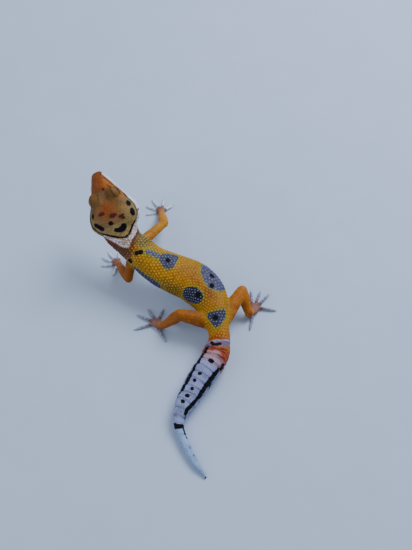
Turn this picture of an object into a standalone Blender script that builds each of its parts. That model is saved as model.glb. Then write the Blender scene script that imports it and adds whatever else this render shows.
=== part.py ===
"""A young leopard gecko at life size, standing still with its head raised and turned.

Lengths are in millimetres until a mesh is made. X runs to the animal's right hind foot,
Y towards the raised snout and Z up, with the soles on Z = 0 and the box of the whole
animal centred on the origin.
"""

import math

import bmesh
import bpy
import numpy as np
from mathutils import Matrix
from mathutils import Vector

MM = 0.001
GAP = 0.3
UP = Vector((0.0, 0.0, 1.0))

# The head: where the snout's tip is, and how the head is turned, raised and rolled
SNOUT_TIP = Vector((-26.4, 39.9, 25.5))
HEAD_TURN = math.radians(27.8)
HEAD_RAISE = math.radians(33.0)
HEAD_ROLL = math.radians(34.0)
HEAD_LENGTH = 18.5

# Outline of the head: distance behind the snout's tip, half width, crown above the mouth line,
# chin below it, and how far the mouth line is lifted
HEAD_STATIONS = [
    (0.25, 1.25, 0.90, 0.60, 0.00),
    (0.80, 1.85, 1.45, 0.90, 0.00),
    (1.70, 2.45, 2.00, 1.15, 0.00),
    (3.00, 3.15, 2.60, 1.40, -0.05),
    (4.60, 3.90, 3.25, 1.70, -0.15),
    (6.20, 4.60, 3.80, 2.00, -0.30),
    (8.00, 5.45, 4.30, 2.35, -0.40),
    (10.00, 6.50, 4.65, 2.70, -0.20),
    (12.00, 7.45, 4.85, 3.00, 0.00),
    (13.80, 8.10, 4.90, 3.20, 0.10),
    (15.50, 8.30, 4.80, 3.25, 0.15),
    (17.00, 7.70, 4.60, 3.20, 0.15),
    (HEAD_LENGTH, 6.50, 4.30, 3.15, 0.15),
]
CROWN_SIDES = 9
CHIN_SIDES = 6
SNOUT_FULLNESS = 1.75
CROWN_FULLNESS = 2.4
CHIN_FULLNESS = 2.2
SNOUT_END = 6.0
CROWN_START = 12.0
HEAD_RINGS = 24
FIRST_HEAD_RING = 0.25
RING_CROWDING = 1.3
MOUTH_END = 10.2
MOUTH_FADE = 1.2
LIP_HEIGHT = 0.14
LIP_DEPTH = 0.34
JAW_INSET = 0.985

# Eyes, each a ball in a socket behind two lids
EYE_BACK = 8.2
EYE_SIDE = 3.12
EYE_HEIGHT = 1.97
EYE_RADIUS = 1.85
LID_THICKNESS = 0.43
EYE_FORWARD = math.radians(18.0)
EYE_UPWARD = math.radians(6.0)
LID_OPENING = (1.75, 0.86)
LID_CUT_DEPTH = 2.1
LID_SLANT = math.radians(8.0)

# Ears and nostrils: distance behind the snout's tip, to the side, above the mouth line, then half sizes
# to the side, forward and up
EAR = (15.7, 8.1, 0.2)
EAR_SIZE = (1.5, 0.62, 1.05)
NOSTRIL = (1.0, 1.5, 1.0)
NOSTRIL_SIZE = (0.34, 0.42, 0.30)

# Middle line of the body from the neck to the end of the tail: x, y, z, half width, half depth
SPINE_STATIONS = [
    (-16.5, 22.5, 13.0, 4.65, 4.15),
    (-13.0, 20.0, 11.3, 4.95, 4.60),
    (-9.3, 17.1, 9.9, 5.35, 4.80),
    (-6.1, 15.5, 9.0, 5.95, 4.90),
    (-1.6, 13.7, 8.2, 6.40, 5.00),
    (3.4, 11.4, 7.6, 6.60, 4.90),
    (7.1, 7.7, 7.1, 6.15, 4.70),
    (9.5, 3.3, 6.6, 4.85, 4.20),
    (10.7, -3.2, 5.8, 3.45, 3.40),
    (11.1, -7.4, 5.1, 3.30, 3.05),
    (10.4, -10.6, 4.8, 4.05, 3.60),
    (8.6, -14.9, 4.6, 4.00, 3.60),
    (6.2, -18.4, 4.4, 3.90, 3.50),
    (4.0, -22.0, 4.1, 3.65, 3.30),
    (2.0, -25.6, 3.6, 3.25, 3.00),
    (0.3, -28.7, 3.0, 2.60, 2.40),
    (-0.7, -31.5, 2.3, 1.75, 1.70),
    (-0.6, -33.8, 1.9, 1.43, 1.40),
    (0.2, -36.4, 1.4, 1.36, 1.30),
    (1.5, -39.4, 1.15, 1.35, 1.25),
    (3.0, -42.4, 1.0, 1.22, 1.10),
    (4.7, -45.3, 0.8, 0.98, 0.90),
    (6.3, -47.4, 0.5, 0.58, 0.58),
    (7.0, -48.5, 0.32, 0.30, 0.34),
]
NAPE_SIZE = (6.0, 3.75)
NAPE_RISE = 0.6
NAPE_DROP = -0.15
ROLL_END = 13.0
BODY_FULLNESS = 2.2
SLOPE_STEP = 0.05

# Where the body is parted, in millimetres along the middle line behind the nape
NECK_END = 7.0
TORSO_END = 49.5
TAIL_BASE_END = 71.5
TAIL_MIDDLE_END = 84.0

# Rings round the tail, each a shallow step as wide as its row of large scales
WHORL_LENGTH = 2.2
WHORL_STEP = 0.05
WHORL_SLOPE = 0.75

# Legs: joint places and the radii along each length
ARM_RIGHT = (Vector((-14.5, 23.0, 9.6)), Vector((-6.2, 33.8, 7.0)), Vector((-7.4, 41.2, 1.9)))
ARM_LEFT = (Vector((-15.5, 20.6, 8.8)), Vector((-16.9, 14.7, 4.6)), Vector((-20.1, 21.3, 1.8)))
LEG_LEFT = (Vector((9.3, -1.3, 5.6)), Vector((-0.7, 0.4, 7.0)), Vector((-5.9, -0.5, 1.9)))
LEG_RIGHT = (Vector((11.5, -1.7, 5.5)), Vector((18.0, 8.4, 7.4)), Vector((20.1, 3.5, 1.9)))
UPPER_ARM_RADII = (1.9, 1.75, 1.5, 1.45)
FOREARM_RADII = (1.5, 1.55, 1.3, 1.0)
THIGH_RADII = (2.6, 2.5, 2.15, 1.85)
SHANK_RADII = (1.85, 1.85, 1.45, 1.1)
LIMB_SIDES = 14

# How the round end of a limb narrows: how far out each ring lies and how wide it is
END_ROUNDING = ((0.45, 0.89), (0.8, 0.6))

# The stretch of the body that each leg is cut clear of, ahead of the torso and behind it
LEG_WALL_BEFORE = 6.5
LEG_WALL_AFTER = 1.0

# How far past its end, in gaps, the room for each lower leg is cut into the foot
SLEEVE_REACH = 0.8

# Feet: middle of the palm, then each toe from its knuckle to its end, inner toe first
HAND_RIGHT = (-7.6, 43.2)
HAND_RIGHT_TOES = [
    (-8.7, 42.6, -11.8, 41.8),
    (-8.7, 43.5, -11.9, 44.8),
    (-8.1, 44.2, -10.3, 47.3),
    (-7.2, 44.4, -6.7, 48.0),
    (-6.4, 43.5, -3.9, 45.3),
]
HAND_LEFT = (-21.1, 22.9)
HAND_LEFT_TOES = [
    (-20.5, 23.9, -20.7, 27.2),
    (-21.5, 24.0, -23.7, 26.6),
    (-22.2, 23.3, -25.3, 24.8),
    (-22.1, 22.4, -25.3, 22.0),
    (-21.2, 21.8, -21.9, 19.0),
]
FOOT_LEFT = (-8.0, 1.0)
FOOT_LEFT_TOES = [
    (-7.3, 2.5, -6.2, 5.7),
    (-8.5, 2.4, -10.6, 5.7),
    (-9.4, 1.7, -13.6, 3.8),
    (-9.5, 0.6, -14.2, -0.9),
    (-7.5, -0.6, -5.3, -4.7),
]
FOOT_RIGHT = (22.2, 6.3)
FOOT_RIGHT_TOES = [
    (21.4, 7.6, 21.1, 12.3),
    (22.5, 7.9, 23.9, 12.2),
    (23.4, 7.5, 26.4, 11.2),
    (23.7, 6.4, 28.2, 5.7),
    (21.7, 4.5, 20.6, -0.6),
]
PALM_HALF_WIDTH = {"hand": 1.3, "foot": 1.5}
PALM_HALF_DEPTH = 0.85
HEEL_SHARE = 0.45
HEEL_HEIGHT = 1.15
HEEL_HALF_DEPTH = 1.05
PALM_FRONT = 0.8
TOE_ROOT_SHARE = 0.45
KNUCKLE_HEIGHT = 0.66
ARCH_SHARE = 0.4
ARCH_HEIGHT = 0.6
PAD_SHARE = 0.75
TOE_SIDES = 7
TOE_RADII = (0.50, 0.41, 0.44, 0.33)
CLAW_SIDES = 5
CLAW_LENGTH = 0.8
CLAW_BEND_SHARE = 0.45
CLAW_HEIGHTS = (0.30, 0.10)
CLAW_SIZES = [(0.2, 0.2), (0.15, 0.16), (0.05, 0.06)]
SOLE_SINK = 0.06

# Colour and roughness of each material
LOOKS = {
    "skin_head": ((0.62, 0.36, 0.14), 0.6),
    "skin_body": ((0.85, 0.52, 0.08), 0.6),
    "skin_limb": ((0.80, 0.38, 0.08), 0.6),
    "skin_foot": ((0.66, 0.55, 0.58), 0.6),
    "skin_tail": ((0.72, 0.70, 0.78), 0.6),
    "eye": ((0.08, 0.06, 0.05), 0.1),
}


def material(look):
    """The material of that name, made once."""
    found = bpy.data.materials.get(look)
    if found:
        return found
    made = bpy.data.materials.new(look)
    made.use_nodes = True
    shader = made.node_tree.nodes["Principled BSDF"]
    colour, roughness = LOOKS[look]
    shader.inputs["Base Color"].default_value = (*colour, 1.0)
    shader.inputs["Roughness"].default_value = roughness
    return made


def through(knots, rows, at, first_slope=None):
    """Smooth curve through rows of numbers that belong to the knots, read at one place."""
    knots = np.asarray(knots, float)
    rows = np.asarray(rows, float)
    slopes = np.gradient(rows, knots, axis=0)
    if first_slope is not None:
        slopes[0] = first_slope
    at = min(max(at, knots[0]), knots[-1])
    i = min(max(int(np.searchsorted(knots, at, side="right")) - 1, 0), len(knots) - 2)
    span = knots[i + 1] - knots[i]
    t = (at - knots[i]) / span
    before = (1 + 2 * t) * (1 - t) ** 2 * rows[i] + t * (1 - t) ** 2 * span * slopes[i]
    after = t * t * (3 - 2 * t) * rows[i + 1] + t * t * (t - 1) * span * slopes[i + 1]
    return before + after


def rounded(angle, fullness):
    """Point of a unit outline that is a circle at fullness 2 and boxier above it."""
    across = math.copysign(abs(math.cos(angle)) ** (2.0 / fullness), math.cos(angle))
    along = math.copysign(abs(math.sin(angle)) ** (2.0 / fullness), math.sin(angle))
    return across, along


def solid(name, rings, look, first_point=None, last_point=None):
    """Closed mesh through the rings, each end a flat face or drawn to a point."""
    mesh = bmesh.new()
    rows = []
    for ring in rings:
        rows.append([mesh.verts.new(point * MM) for point in ring])
    sides = len(rows[0])
    for lower, upper in zip(rows, rows[1:]):
        for i in range(sides):
            j = (i + 1) % sides
            mesh.faces.new((lower[i], lower[j], upper[j], upper[i]))
    for row, point in ((rows[0], first_point), (rows[-1], last_point)):
        if point is None:
            mesh.faces.new(row)
            continue
        tip = mesh.verts.new(point * MM)
        for i in range(sides):
            mesh.faces.new((row[i], row[(i + 1) % sides], tip))
    return finish(name, mesh, look)


def finish(name, mesh, look):
    """Object from a bmesh, with its faces turned outwards and shaded smooth."""
    bmesh.ops.recalc_face_normals(mesh, faces=mesh.faces)
    data = bpy.data.meshes.new(name)
    mesh.to_mesh(data)
    mesh.free()
    data.materials.append(material(look))
    data.shade_smooth()
    item = bpy.data.objects.new(name, data)
    bpy.context.collection.objects.link(item)
    return item


def ball(name, place, sizes, turn, segments, rings, look):
    """Ellipsoid with its half sizes along the three axes of a turned frame."""
    mesh = bmesh.new()
    bmesh.ops.create_uvsphere(mesh, u_segments=segments, v_segments=rings, radius=1.0)
    spread = Matrix.Diagonal((*[size * MM for size in sizes], 1.0))
    move = Matrix.Translation(place * MM) @ turn.to_4x4() @ spread
    bmesh.ops.transform(mesh, matrix=move, verts=mesh.verts)
    return finish(name, mesh, look)


def apply_boolean(item, operation, tool=None, tools=None):
    """Apply one Boolean with a single tool or a collection of tools, then remove them."""
    modifier = item.modifiers.new(operation.lower(), "BOOLEAN")
    modifier.operation = operation
    modifier.solver = "EXACT"
    if tools:
        group = bpy.data.collections.new(item.name + "_tools")
        bpy.context.scene.collection.children.link(group)
        for member in tools:
            group.objects.link(member)
        modifier.operand_type = "COLLECTION"
        modifier.collection = group
    else:
        modifier.object = tool
    with bpy.context.temp_override(object=item, active_object=item):
        bpy.ops.object.modifier_apply(modifier=modifier.name)
    for member in tools or [tool]:
        bpy.data.objects.remove(member)
    if tools:
        bpy.data.collections.remove(group)


def keep_largest(item):
    """Drop every closed surface of the mesh but the one with the most area."""
    mesh = bmesh.new()
    mesh.from_mesh(item.data)
    waiting = set(mesh.faces)
    shells = []
    while waiting:
        edge_of = [waiting.pop()]
        shell = set(edge_of)
        while edge_of:
            face = edge_of.pop()
            for edge in face.edges:
                for other in edge.link_faces:
                    if other in waiting:
                        waiting.remove(other)
                        shell.add(other)
                        edge_of.append(other)
        shells.append(shell)
    shells.sort(key=lambda faces: sum(face.calc_area() for face in faces))
    for shell in shells[:-1]:
        bmesh.ops.delete(mesh, geom=list(shell), context="FACES")
    mesh.to_mesh(item.data)
    mesh.free()


def trim(item, place, away):
    """Cut a mesh flat at a plane and drop the side that the second vector points to."""
    mesh = bmesh.new()
    mesh.from_mesh(item.data)
    parts = mesh.verts[:] + mesh.edges[:] + mesh.faces[:]
    cut = bmesh.ops.bisect_plane(
        mesh, geom=parts, dist=1e-7, plane_co=place * MM, plane_no=away, clear_outer=True
    )
    edges = [part for part in cut["geom_cut"] if isinstance(part, bmesh.types.BMEdge)]
    bmesh.ops.edgeloop_fill(mesh, edges=edges)
    bmesh.ops.recalc_face_normals(mesh, faces=mesh.faces)
    mesh.to_mesh(item.data)
    mesh.free()


def head_axes():
    """Right, forward and up of the turned, raised and rolled head."""
    forward = Vector((
        -math.sin(HEAD_TURN) * math.cos(HEAD_RAISE),
        math.cos(HEAD_TURN) * math.cos(HEAD_RAISE),
        math.sin(HEAD_RAISE),
    ))
    level = Vector((math.cos(HEAD_TURN), math.sin(HEAD_TURN), 0.0))
    crown = level.cross(forward)
    right = level * math.cos(HEAD_ROLL) + crown * math.sin(HEAD_ROLL)
    up = crown * math.cos(HEAD_ROLL) - level * math.sin(HEAD_ROLL)
    return right, forward, up


def head_turn():
    """Rotation whose columns are the head's right, forward and up."""
    return Matrix(head_axes()).transposed()


def on_head(back, side, height):
    """Place in the head's own frame: behind the snout's tip, to the right, above the mouth."""
    return SNOUT_TIP + head_turn() @ Vector((side, -back, height))


def head_ring(back):
    """Ring of points round the head, with a groove between the lips."""
    knots = [station[0] for station in HEAD_STATIONS]
    rows = [station[1:] for station in HEAD_STATIONS]
    width, crown, chin, lift = through(knots, rows, back)
    fade = min(max((MOUTH_END - back) / MOUTH_FADE + 1.0, 0.0), 1.0)
    lip = LIP_HEIGHT * min(1.0, chin)
    groove = width - LIP_DEPTH * fade * min(1.0, width / 2.0)
    rise = min(max((back - SNOUT_END) / (CROWN_START - SNOUT_END), 0.0), 1.0)
    fullness = SNOUT_FULLNESS + (CROWN_FULLNESS - SNOUT_FULLNESS) * rise
    half = []
    for i in range(CROWN_SIDES + 1):
        x, z = rounded(0.5 * math.pi * (1.0 - i / CROWN_SIDES), fullness)
        half.append((width * x, lip + (crown - lip) * z))
    half.append((groove, 0.0))
    for i in range(CHIN_SIDES + 1):
        x, z = rounded(0.5 * math.pi * i / CHIN_SIDES, CHIN_FULLNESS)
        half.append((width * x * JAW_INSET, -lip - (chin - lip) * z))
    other = [(-x, z) for x, z in reversed(half[1:-1])]
    return [on_head(back, x, z + lift) for x, z in half + other]


def eye_centre(side):
    """Middle of the right (1) or left (-1) eyeball."""
    return on_head(EYE_BACK, side * EYE_SIDE, EYE_HEIGHT)


def eye_frame(side):
    """Rotation whose columns run along the lids, up across them and out of the eye."""
    outward = Vector((
        side * math.cos(EYE_FORWARD) * math.cos(EYE_UPWARD),
        math.sin(EYE_FORWARD) * math.cos(EYE_UPWARD),
        math.sin(EYE_UPWARD),
    ))
    along = outward.cross(UP).normalized()
    across = along.cross(outward)
    slant = Matrix.Rotation(side * LID_SLANT, 3, outward)
    turned = Matrix((slant @ along, slant @ across, outward)).transposed()
    return head_turn() @ turned


def build_head():
    """Skull with jaws, lids, eye sockets, ears, nostrils and the line of the mouth."""
    backs = []
    for i in range(HEAD_RINGS):
        part = i / (HEAD_RINGS - 1)
        backs.append(FIRST_HEAD_RING + (HEAD_LENGTH - GAP / 2 - FIRST_HEAD_RING) * part ** RING_CROWDING)
    rings = [head_ring(back) for back in backs]
    head = solid("head", rings, "skin_head", first_point=on_head(0.0, 0.0, 0.0))
    turn = head_turn()
    lid = EYE_RADIUS + GAP + LID_THICKNESS
    socket = EYE_RADIUS + GAP
    for side in (1, -1):
        centre = eye_centre(side)
        frame = eye_frame(side)
        bulge = ball("lids", centre, (lid, lid, lid), frame, 20, 12, "skin_head")
        apply_boolean(head, "UNION", bulge)
        opening = ball(
            "opening", centre + frame @ Vector((0.0, 0.0, lid)),
            (LID_OPENING[0], LID_OPENING[1], LID_CUT_DEPTH), frame, 18, 10, "skin_head",
        )
        apply_boolean(head, "DIFFERENCE", opening)
        cavity = ball("socket", centre, (socket, socket, socket), frame, 20, 12, "skin_head")
        apply_boolean(head, "DIFFERENCE", cavity)
        back, reach, height = EAR
        pit = ball("ear", on_head(back, side * reach, height), EAR_SIZE, turn, 12, 8, "skin_head")
        apply_boolean(head, "DIFFERENCE", pit)
        back, reach, height = NOSTRIL
        hole = ball("nostril", on_head(back, side * reach, height), NOSTRIL_SIZE, turn, 8, 6, "skin_head")
        apply_boolean(head, "DIFFERENCE", hole)
    keep_largest(head)


def build_eyes():
    """The two eyeballs, clear of their sockets."""
    for side, name in ((1, "eye_right"), (-1, "eye_left")):
        size = (EYE_RADIUS, EYE_RADIUS, EYE_RADIUS)
        ball(name, eye_centre(side), size, eye_frame(side), 20, 12, "eye")


def spine_rows():
    """Distances behind the nape and the rows of x, y, z, half width and half depth there."""
    nape = on_head(HEAD_LENGTH, 0.0, NAPE_RISE)
    rows = [(*nape, *NAPE_SIZE)] + SPINE_STATIONS
    knots = [0.0]
    for last, row in zip(rows, rows[1:]):
        knots.append(knots[-1] + math.dist(last[:3], row[:3]))
    return knots, rows


def spine_at(along):
    """Middle, right, up, tailward direction, half width and half depth at a distance."""
    knots, rows = spine_rows()
    right_of_head, forward, up_of_head = head_axes()
    start = (*(-forward), NAPE_DROP, 0.0)
    here = through(knots, rows, along, start)
    ahead = Vector(through(knots, rows, along + SLOPE_STEP, start)[:3])
    behind = Vector(through(knots, rows, along - SLOPE_STEP, start)[:3])
    tailward = (ahead - behind).normalized()
    if along <= 0.0:
        return Vector(here[:3]), right_of_head, up_of_head, -forward, here[3], here[4]
    level = (-tailward).cross(UP).normalized()
    above = level.cross(-tailward)
    left = min(along / ROLL_END, 1.0)
    roll = HEAD_ROLL * (1.0 - left * left * (3.0 - 2.0 * left))
    right = level * math.cos(roll) + above * math.sin(roll)
    up = above * math.cos(roll) - level * math.sin(roll)
    return Vector(here[:3]), right, up, tailward, here[3], here[4]


def body_ring(along, sides, slide=0.0, grow=0.0, scale=1.0):
    """Ring round the body, slid along the middle line to leave half a gap at a cut."""
    middle, right, up, tailward, width, depth = spine_at(along)
    ring = []
    for i in range(sides):
        x, z = rounded(2.0 * math.pi * i / sides, BODY_FULLNESS)
        point = middle + tailward * slide
        point = point + right * ((width * scale + grow) * x) + up * ((depth * scale + grow) * z)
        point.z = max(point.z, 0.0)
        ring.append(point)
    return ring


def body_rings(start, end, count, sides, grow=0.0):
    """Evenly spaced rings of one length of the body, with half a gap left at each end."""
    rings = []
    for i in range(count + 1):
        slide = 0.0
        if i == 0:
            slide = GAP / 2
        if i == count:
            slide = -GAP / 2
        rings.append(body_ring(start + (end - start) * i / count, sides, slide, grow))
    return rings


def whorl_rings(start, end, sides):
    """Rings of one length of the tail, in steps that follow its rows of large scales."""
    count = max(2, round((end - start) / WHORL_LENGTH))
    rings = []
    for i in range(count):
        low = start + (end - start) * i / count
        high = start + (end - start) * (i + WHORL_SLOPE) / count
        slide = GAP / 2 if i == 0 else 0.0
        rings.append(body_ring(low, sides, slide, 0.0, 1.0 - WHORL_STEP))
        rings.append(body_ring(high, sides))
    rings.append(body_ring(end, sides, -GAP / 2, 0.0, 1.0 - WHORL_STEP))
    return rings


def build_body():
    """Neck, torso and the three lengths of the tail."""
    knots, rows = spine_rows()
    solid("neck", body_rings(0.0, NECK_END, 7, 24), "skin_body")
    solid("torso", body_rings(NECK_END, TORSO_END, 26, 26), "skin_body")
    solid("tail_base", whorl_rings(TORSO_END, TAIL_BASE_END, 22), "skin_tail")
    solid("tail_middle", whorl_rings(TAIL_BASE_END, TAIL_MIDDLE_END, 20), "skin_tail")
    rings = body_rings(TAIL_MIDDLE_END, knots[-1], 10, 14)
    tip = Vector(rows[-1][:3]) + spine_at(knots[-1])[3] * rows[-1][3]
    solid("tail_tip", rings, "skin_tail", last_point=tip)


def tube(name, path, sizes, sides, look, round_start=True, round_end=True, parts=2):
    """Limb through a path of points, each with its half width and half depth."""
    knots = [0.0]
    for last, point in zip(path, path[1:]):
        knots.append(knots[-1] + (point - last).length)
    rows = [(*point, *size) for point, size in zip(path, sizes)]
    steps = parts * (len(path) - 1)
    rings = []
    ends = []
    for i in range(steps + 1):
        along = knots[-1] * i / steps
        here = through(knots, rows, along)
        ahead = Vector(through(knots, rows, along + SLOPE_STEP)[:3])
        behind = Vector(through(knots, rows, along - SLOPE_STEP)[:3])
        forward = (ahead - behind).normalized()
        right = forward.cross(UP).normalized()
        up = right.cross(forward)
        middle = Vector(here[:3])
        bulges = [(0.0, 1.0)]
        if i == 0 and round_start:
            bulges = [(-push, shrink) for push, shrink in reversed(END_ROUNDING)] + [(0.0, 1.0)]
        if i == steps and round_end:
            bulges = [(0.0, 1.0), *END_ROUNDING]
        for push, shrink in bulges:
            ring = []
            for k in range(sides):
                angle = 2.0 * math.pi * k / sides
                point = middle + forward * (push * here[4])
                point = point + right * (here[3] * shrink * math.cos(angle))
                ring.append(point + up * (here[4] * shrink * math.sin(angle)))
            rings.append(ring)
        ends.append((middle, forward, here[4]))
    first = ends[0][0] - ends[0][1] * ends[0][2] if round_start else None
    last = ends[-1][0] + ends[-1][1] * ends[-1][2] if round_end else None
    return solid(name, rings, look, first, last)


def along_line(start, end, radii):
    """Evenly spaced points from start to end, with a round size at each."""
    count = len(radii) - 1
    path = [start.lerp(end, i / count) for i in range(count + 1)]
    return path, [(radius, radius) for radius in radii]


def build_leg(names, joints, radii, palm, toes):
    """Upper length, lower length and foot of one leg."""
    root, bend, ankle = joints
    upper_path, upper_sizes = along_line(root, bend, radii[0])
    upper = tube(names[0], upper_path, upper_sizes, LIMB_SIDES, "skin_limb")
    wall_rings = body_rings(NECK_END - LEG_WALL_BEFORE, TORSO_END + LEG_WALL_AFTER, 40, 26, GAP)
    wall = solid("wall", wall_rings, "skin_limb")
    apply_boolean(upper, "DIFFERENCE", wall)
    stop = ankle + (bend - ankle).normalized() * (GAP / 2)
    lower_path, lower_sizes = along_line(bend, stop, radii[1])
    lower = tube(names[1], lower_path, lower_sizes, LIMB_SIDES, "skin_limb", round_end=False)
    onward = ((ankle - bend).normalized() + (bend - root).normalized()).normalized()
    trim(upper, bend - onward * (GAP / 2), onward)
    trim(lower, bend + onward * (GAP / 2), -onward)
    keep_largest(upper)
    foot = build_foot(names[2], bend, ankle, radii[1][-1], palm, toes)
    sleeve_path = lower_path[:-1] + [stop + (ankle - bend).normalized() * (SLEEVE_REACH * GAP)]
    sleeve_sizes = [(width + GAP, depth + GAP) for width, depth in lower_sizes]
    sleeve = tube("sleeve", sleeve_path, sleeve_sizes, LIMB_SIDES, "skin_limb", round_end=False)
    apply_boolean(foot, "DIFFERENCE", sleeve)
    trim(foot, Vector((0.0, 0.0, 0.0)), -UP)
    keep_largest(foot)


def build_foot(name, bend, ankle, ankle_radius, palm, toes):
    """Ankle, palm, five toes and their claws joined to one solid."""
    width = PALM_HALF_WIDTH[name.split("_")[0]]
    down = (ankle - bend).normalized()
    middle = Vector((palm[0], palm[1], PALM_HALF_DEPTH - SOLE_SINK))
    reach = Vector((middle.x - ankle.x, middle.y - ankle.y, 0.0)).normalized()
    heel = ankle.lerp(middle, HEEL_SHARE)
    heel.z = HEEL_HEIGHT
    front = middle + reach * PALM_FRONT
    path = [ankle + down * (GAP / 2), heel, middle, front]
    sizes = [
        (ankle_radius, ankle_radius),
        ((ankle_radius + width) / 2, HEEL_HALF_DEPTH),
        (width, PALM_HALF_DEPTH),
        (width * PALM_FRONT, PALM_HALF_DEPTH * PALM_FRONT),
    ]
    foot = tube(name, path, sizes, LIMB_SIDES, "skin_foot", round_start=False, parts=3)
    pieces = []
    for knuckle_x, knuckle_y, end_x, end_y in toes:
        knuckle = Vector((knuckle_x, knuckle_y, KNUCKLE_HEIGHT))
        end = Vector((end_x, end_y, TOE_RADII[3] - SOLE_SINK))
        ahead = (end - knuckle).normalized()
        sunk = middle.lerp(knuckle, TOE_ROOT_SHARE)
        arch = knuckle.lerp(end, ARCH_SHARE)
        arch.z = ARCH_HEIGHT
        pad = knuckle.lerp(end, PAD_SHARE)
        pad.z = TOE_RADII[2] - SOLE_SINK
        toe_path = [sunk, knuckle, arch, pad, end]
        toe_sizes = [(TOE_RADII[0], TOE_RADII[0])] + [(radius, radius) for radius in TOE_RADII]
        pieces.append(tube("toe", toe_path, toe_sizes, TOE_SIDES, "skin_foot", round_start=False, parts=1))
        bend_of_claw = end + ahead * CLAW_BEND_SHARE * CLAW_LENGTH
        tip_of_claw = end + ahead * CLAW_LENGTH
        bend_of_claw.z, tip_of_claw.z = CLAW_HEIGHTS
        claw_path = [end, bend_of_claw, tip_of_claw]
        claw = tube("claw", claw_path, CLAW_SIZES, CLAW_SIDES, "skin_foot", round_start=False, parts=1)
        pieces.append(claw)
    apply_boolean(foot, "UNION", tools=pieces)
    return foot


def build_legs():
    """The four legs with their feet."""
    arm = (UPPER_ARM_RADII, FOREARM_RADII)
    leg = (THIGH_RADII, SHANK_RADII)
    plans = [
        (("upper_arm_right", "forearm_right", "hand_right"), ARM_RIGHT, arm, HAND_RIGHT, HAND_RIGHT_TOES),
        (("upper_arm_left", "forearm_left", "hand_left"), ARM_LEFT, arm, HAND_LEFT, HAND_LEFT_TOES),
        (("thigh_right", "shank_right", "foot_right"), LEG_RIGHT, leg, FOOT_RIGHT, FOOT_RIGHT_TOES),
        (("thigh_left", "shank_left", "foot_left"), LEG_LEFT, leg, FOOT_LEFT, FOOT_LEFT_TOES),
    ]
    for plan in plans:
        build_leg(*plan)


for old in list(bpy.data.objects):
    bpy.data.objects.remove(old)
build_head()
build_eyes()
build_body()
build_legs()
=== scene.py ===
import math

import bpy
import numpy as np
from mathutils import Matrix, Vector
from mathutils.bvhtree import BVHTree


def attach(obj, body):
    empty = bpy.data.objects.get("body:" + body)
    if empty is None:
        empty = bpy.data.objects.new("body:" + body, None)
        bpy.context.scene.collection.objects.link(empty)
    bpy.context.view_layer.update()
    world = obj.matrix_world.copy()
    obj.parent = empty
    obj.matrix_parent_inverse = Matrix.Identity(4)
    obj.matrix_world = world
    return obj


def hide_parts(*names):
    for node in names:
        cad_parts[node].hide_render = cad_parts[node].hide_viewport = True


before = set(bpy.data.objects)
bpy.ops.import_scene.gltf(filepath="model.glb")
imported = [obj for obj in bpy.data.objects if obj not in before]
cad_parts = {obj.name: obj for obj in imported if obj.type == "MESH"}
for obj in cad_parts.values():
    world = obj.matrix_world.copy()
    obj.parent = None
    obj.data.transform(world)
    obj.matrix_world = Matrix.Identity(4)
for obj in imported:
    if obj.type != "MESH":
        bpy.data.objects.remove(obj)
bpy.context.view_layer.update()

# Studio: a pale matt painted floor, a wide soft lamp high on the right, a weak one low on the left and
# pale light all round. The camera looks down at 58 degrees from 330 mm away. Lengths are in millimetres
# until a mesh or a lamp is made.
MM = 0.001
CAMERA_TILT = math.radians(58.0)
CAMERA_REACH = 330.0
CAMERA_AIM = (7.1, 18.8, 0.0)
CAMERA_LENS = 68.6
FLOOR_HALF = 900.0
FLOOR_GRAIN = 6.0
DAYLIGHT = "#D8E3F5"


def linear(code):
    """Linear red, green, blue and 1 of an sRGB hex value."""
    parts = [int(code[i:i + 2], 16) / 255.0 for i in (1, 3, 5)]
    return (*[p / 12.92 if p <= 0.04045 else ((p + 0.055) / 1.055) ** 2.4 for p in parts], 1.0)


def add(tree, kind, inputs=None, **settings):
    """One node of a material, with its settings, its values and its links from sockets or other nodes."""
    made = tree.nodes.new(kind)
    for name, value in settings.items():
        setattr(made, name, value)
    for socket, value in (inputs or {}).items():
        if isinstance(value, bpy.types.Node):
            value = value.outputs[0]
        if isinstance(value, bpy.types.NodeSocket):
            tree.links.new(value, made.inputs[socket])
        else:
            made.inputs[socket].default_value = value
    return made


def new_material(name):
    """An empty material with its shader, and the tree that holds them."""
    made = bpy.data.materials.new(name)
    made.use_nodes = True
    tree = made.node_tree
    return made, tree, tree.nodes["Principled BSDF"]


def show(name, points, faces, material, smooth=True):
    """Object of that name from points in millimetres and lists of corner numbers."""
    data = bpy.data.meshes.new(name)
    data.from_pydata((np.asarray(points) * MM).tolist(), [], faces)
    data.materials.append(material)
    if smooth:
        data.shade_smooth()
    item = bpy.data.objects.new(name, data)
    bpy.context.scene.collection.objects.link(item)
    return item


view = bpy.data.cameras.new("view")
view.lens = CAMERA_LENS
view.sensor_width = 36.0
view.clip_start = 0.01
camera = bpy.data.objects.new("view", view)
camera.location = Vector(CAMERA_AIM) * MM + Vector((
    0.0, -math.cos(CAMERA_TILT) * CAMERA_REACH * MM, math.sin(CAMERA_TILT) * CAMERA_REACH * MM,
))
camera.rotation_euler = (math.pi / 2 - CAMERA_TILT, 0.0, 0.0)
bpy.context.scene.collection.objects.link(camera)
bpy.context.scene.camera = camera

world = bpy.data.worlds.new("daylight")
world.use_nodes = True
world.node_tree.nodes["Background"].inputs["Color"].default_value = linear(DAYLIGHT)
world.node_tree.nodes["Background"].inputs["Strength"].default_value = 0.50
bpy.context.scene.world = world
for name, place, size, power in (
    ("key", (260.0, 300.0, 420.0), 0.30, 3.6),
    ("fill", (-380.0, -160.0, 300.0), 0.45, 0.8),
):
    lamp = bpy.data.lights.new(name, "AREA")
    lamp.size = size
    lamp.energy = power
    lamp.color = linear(DAYLIGHT)[:3]
    stand = bpy.data.objects.new(name, lamp)
    stand.location = Vector(place) * MM
    stand.rotation_euler = (-Vector(place)).to_track_quat("-Z", "Y").to_euler()
    bpy.context.scene.collection.objects.link(stand)

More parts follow.
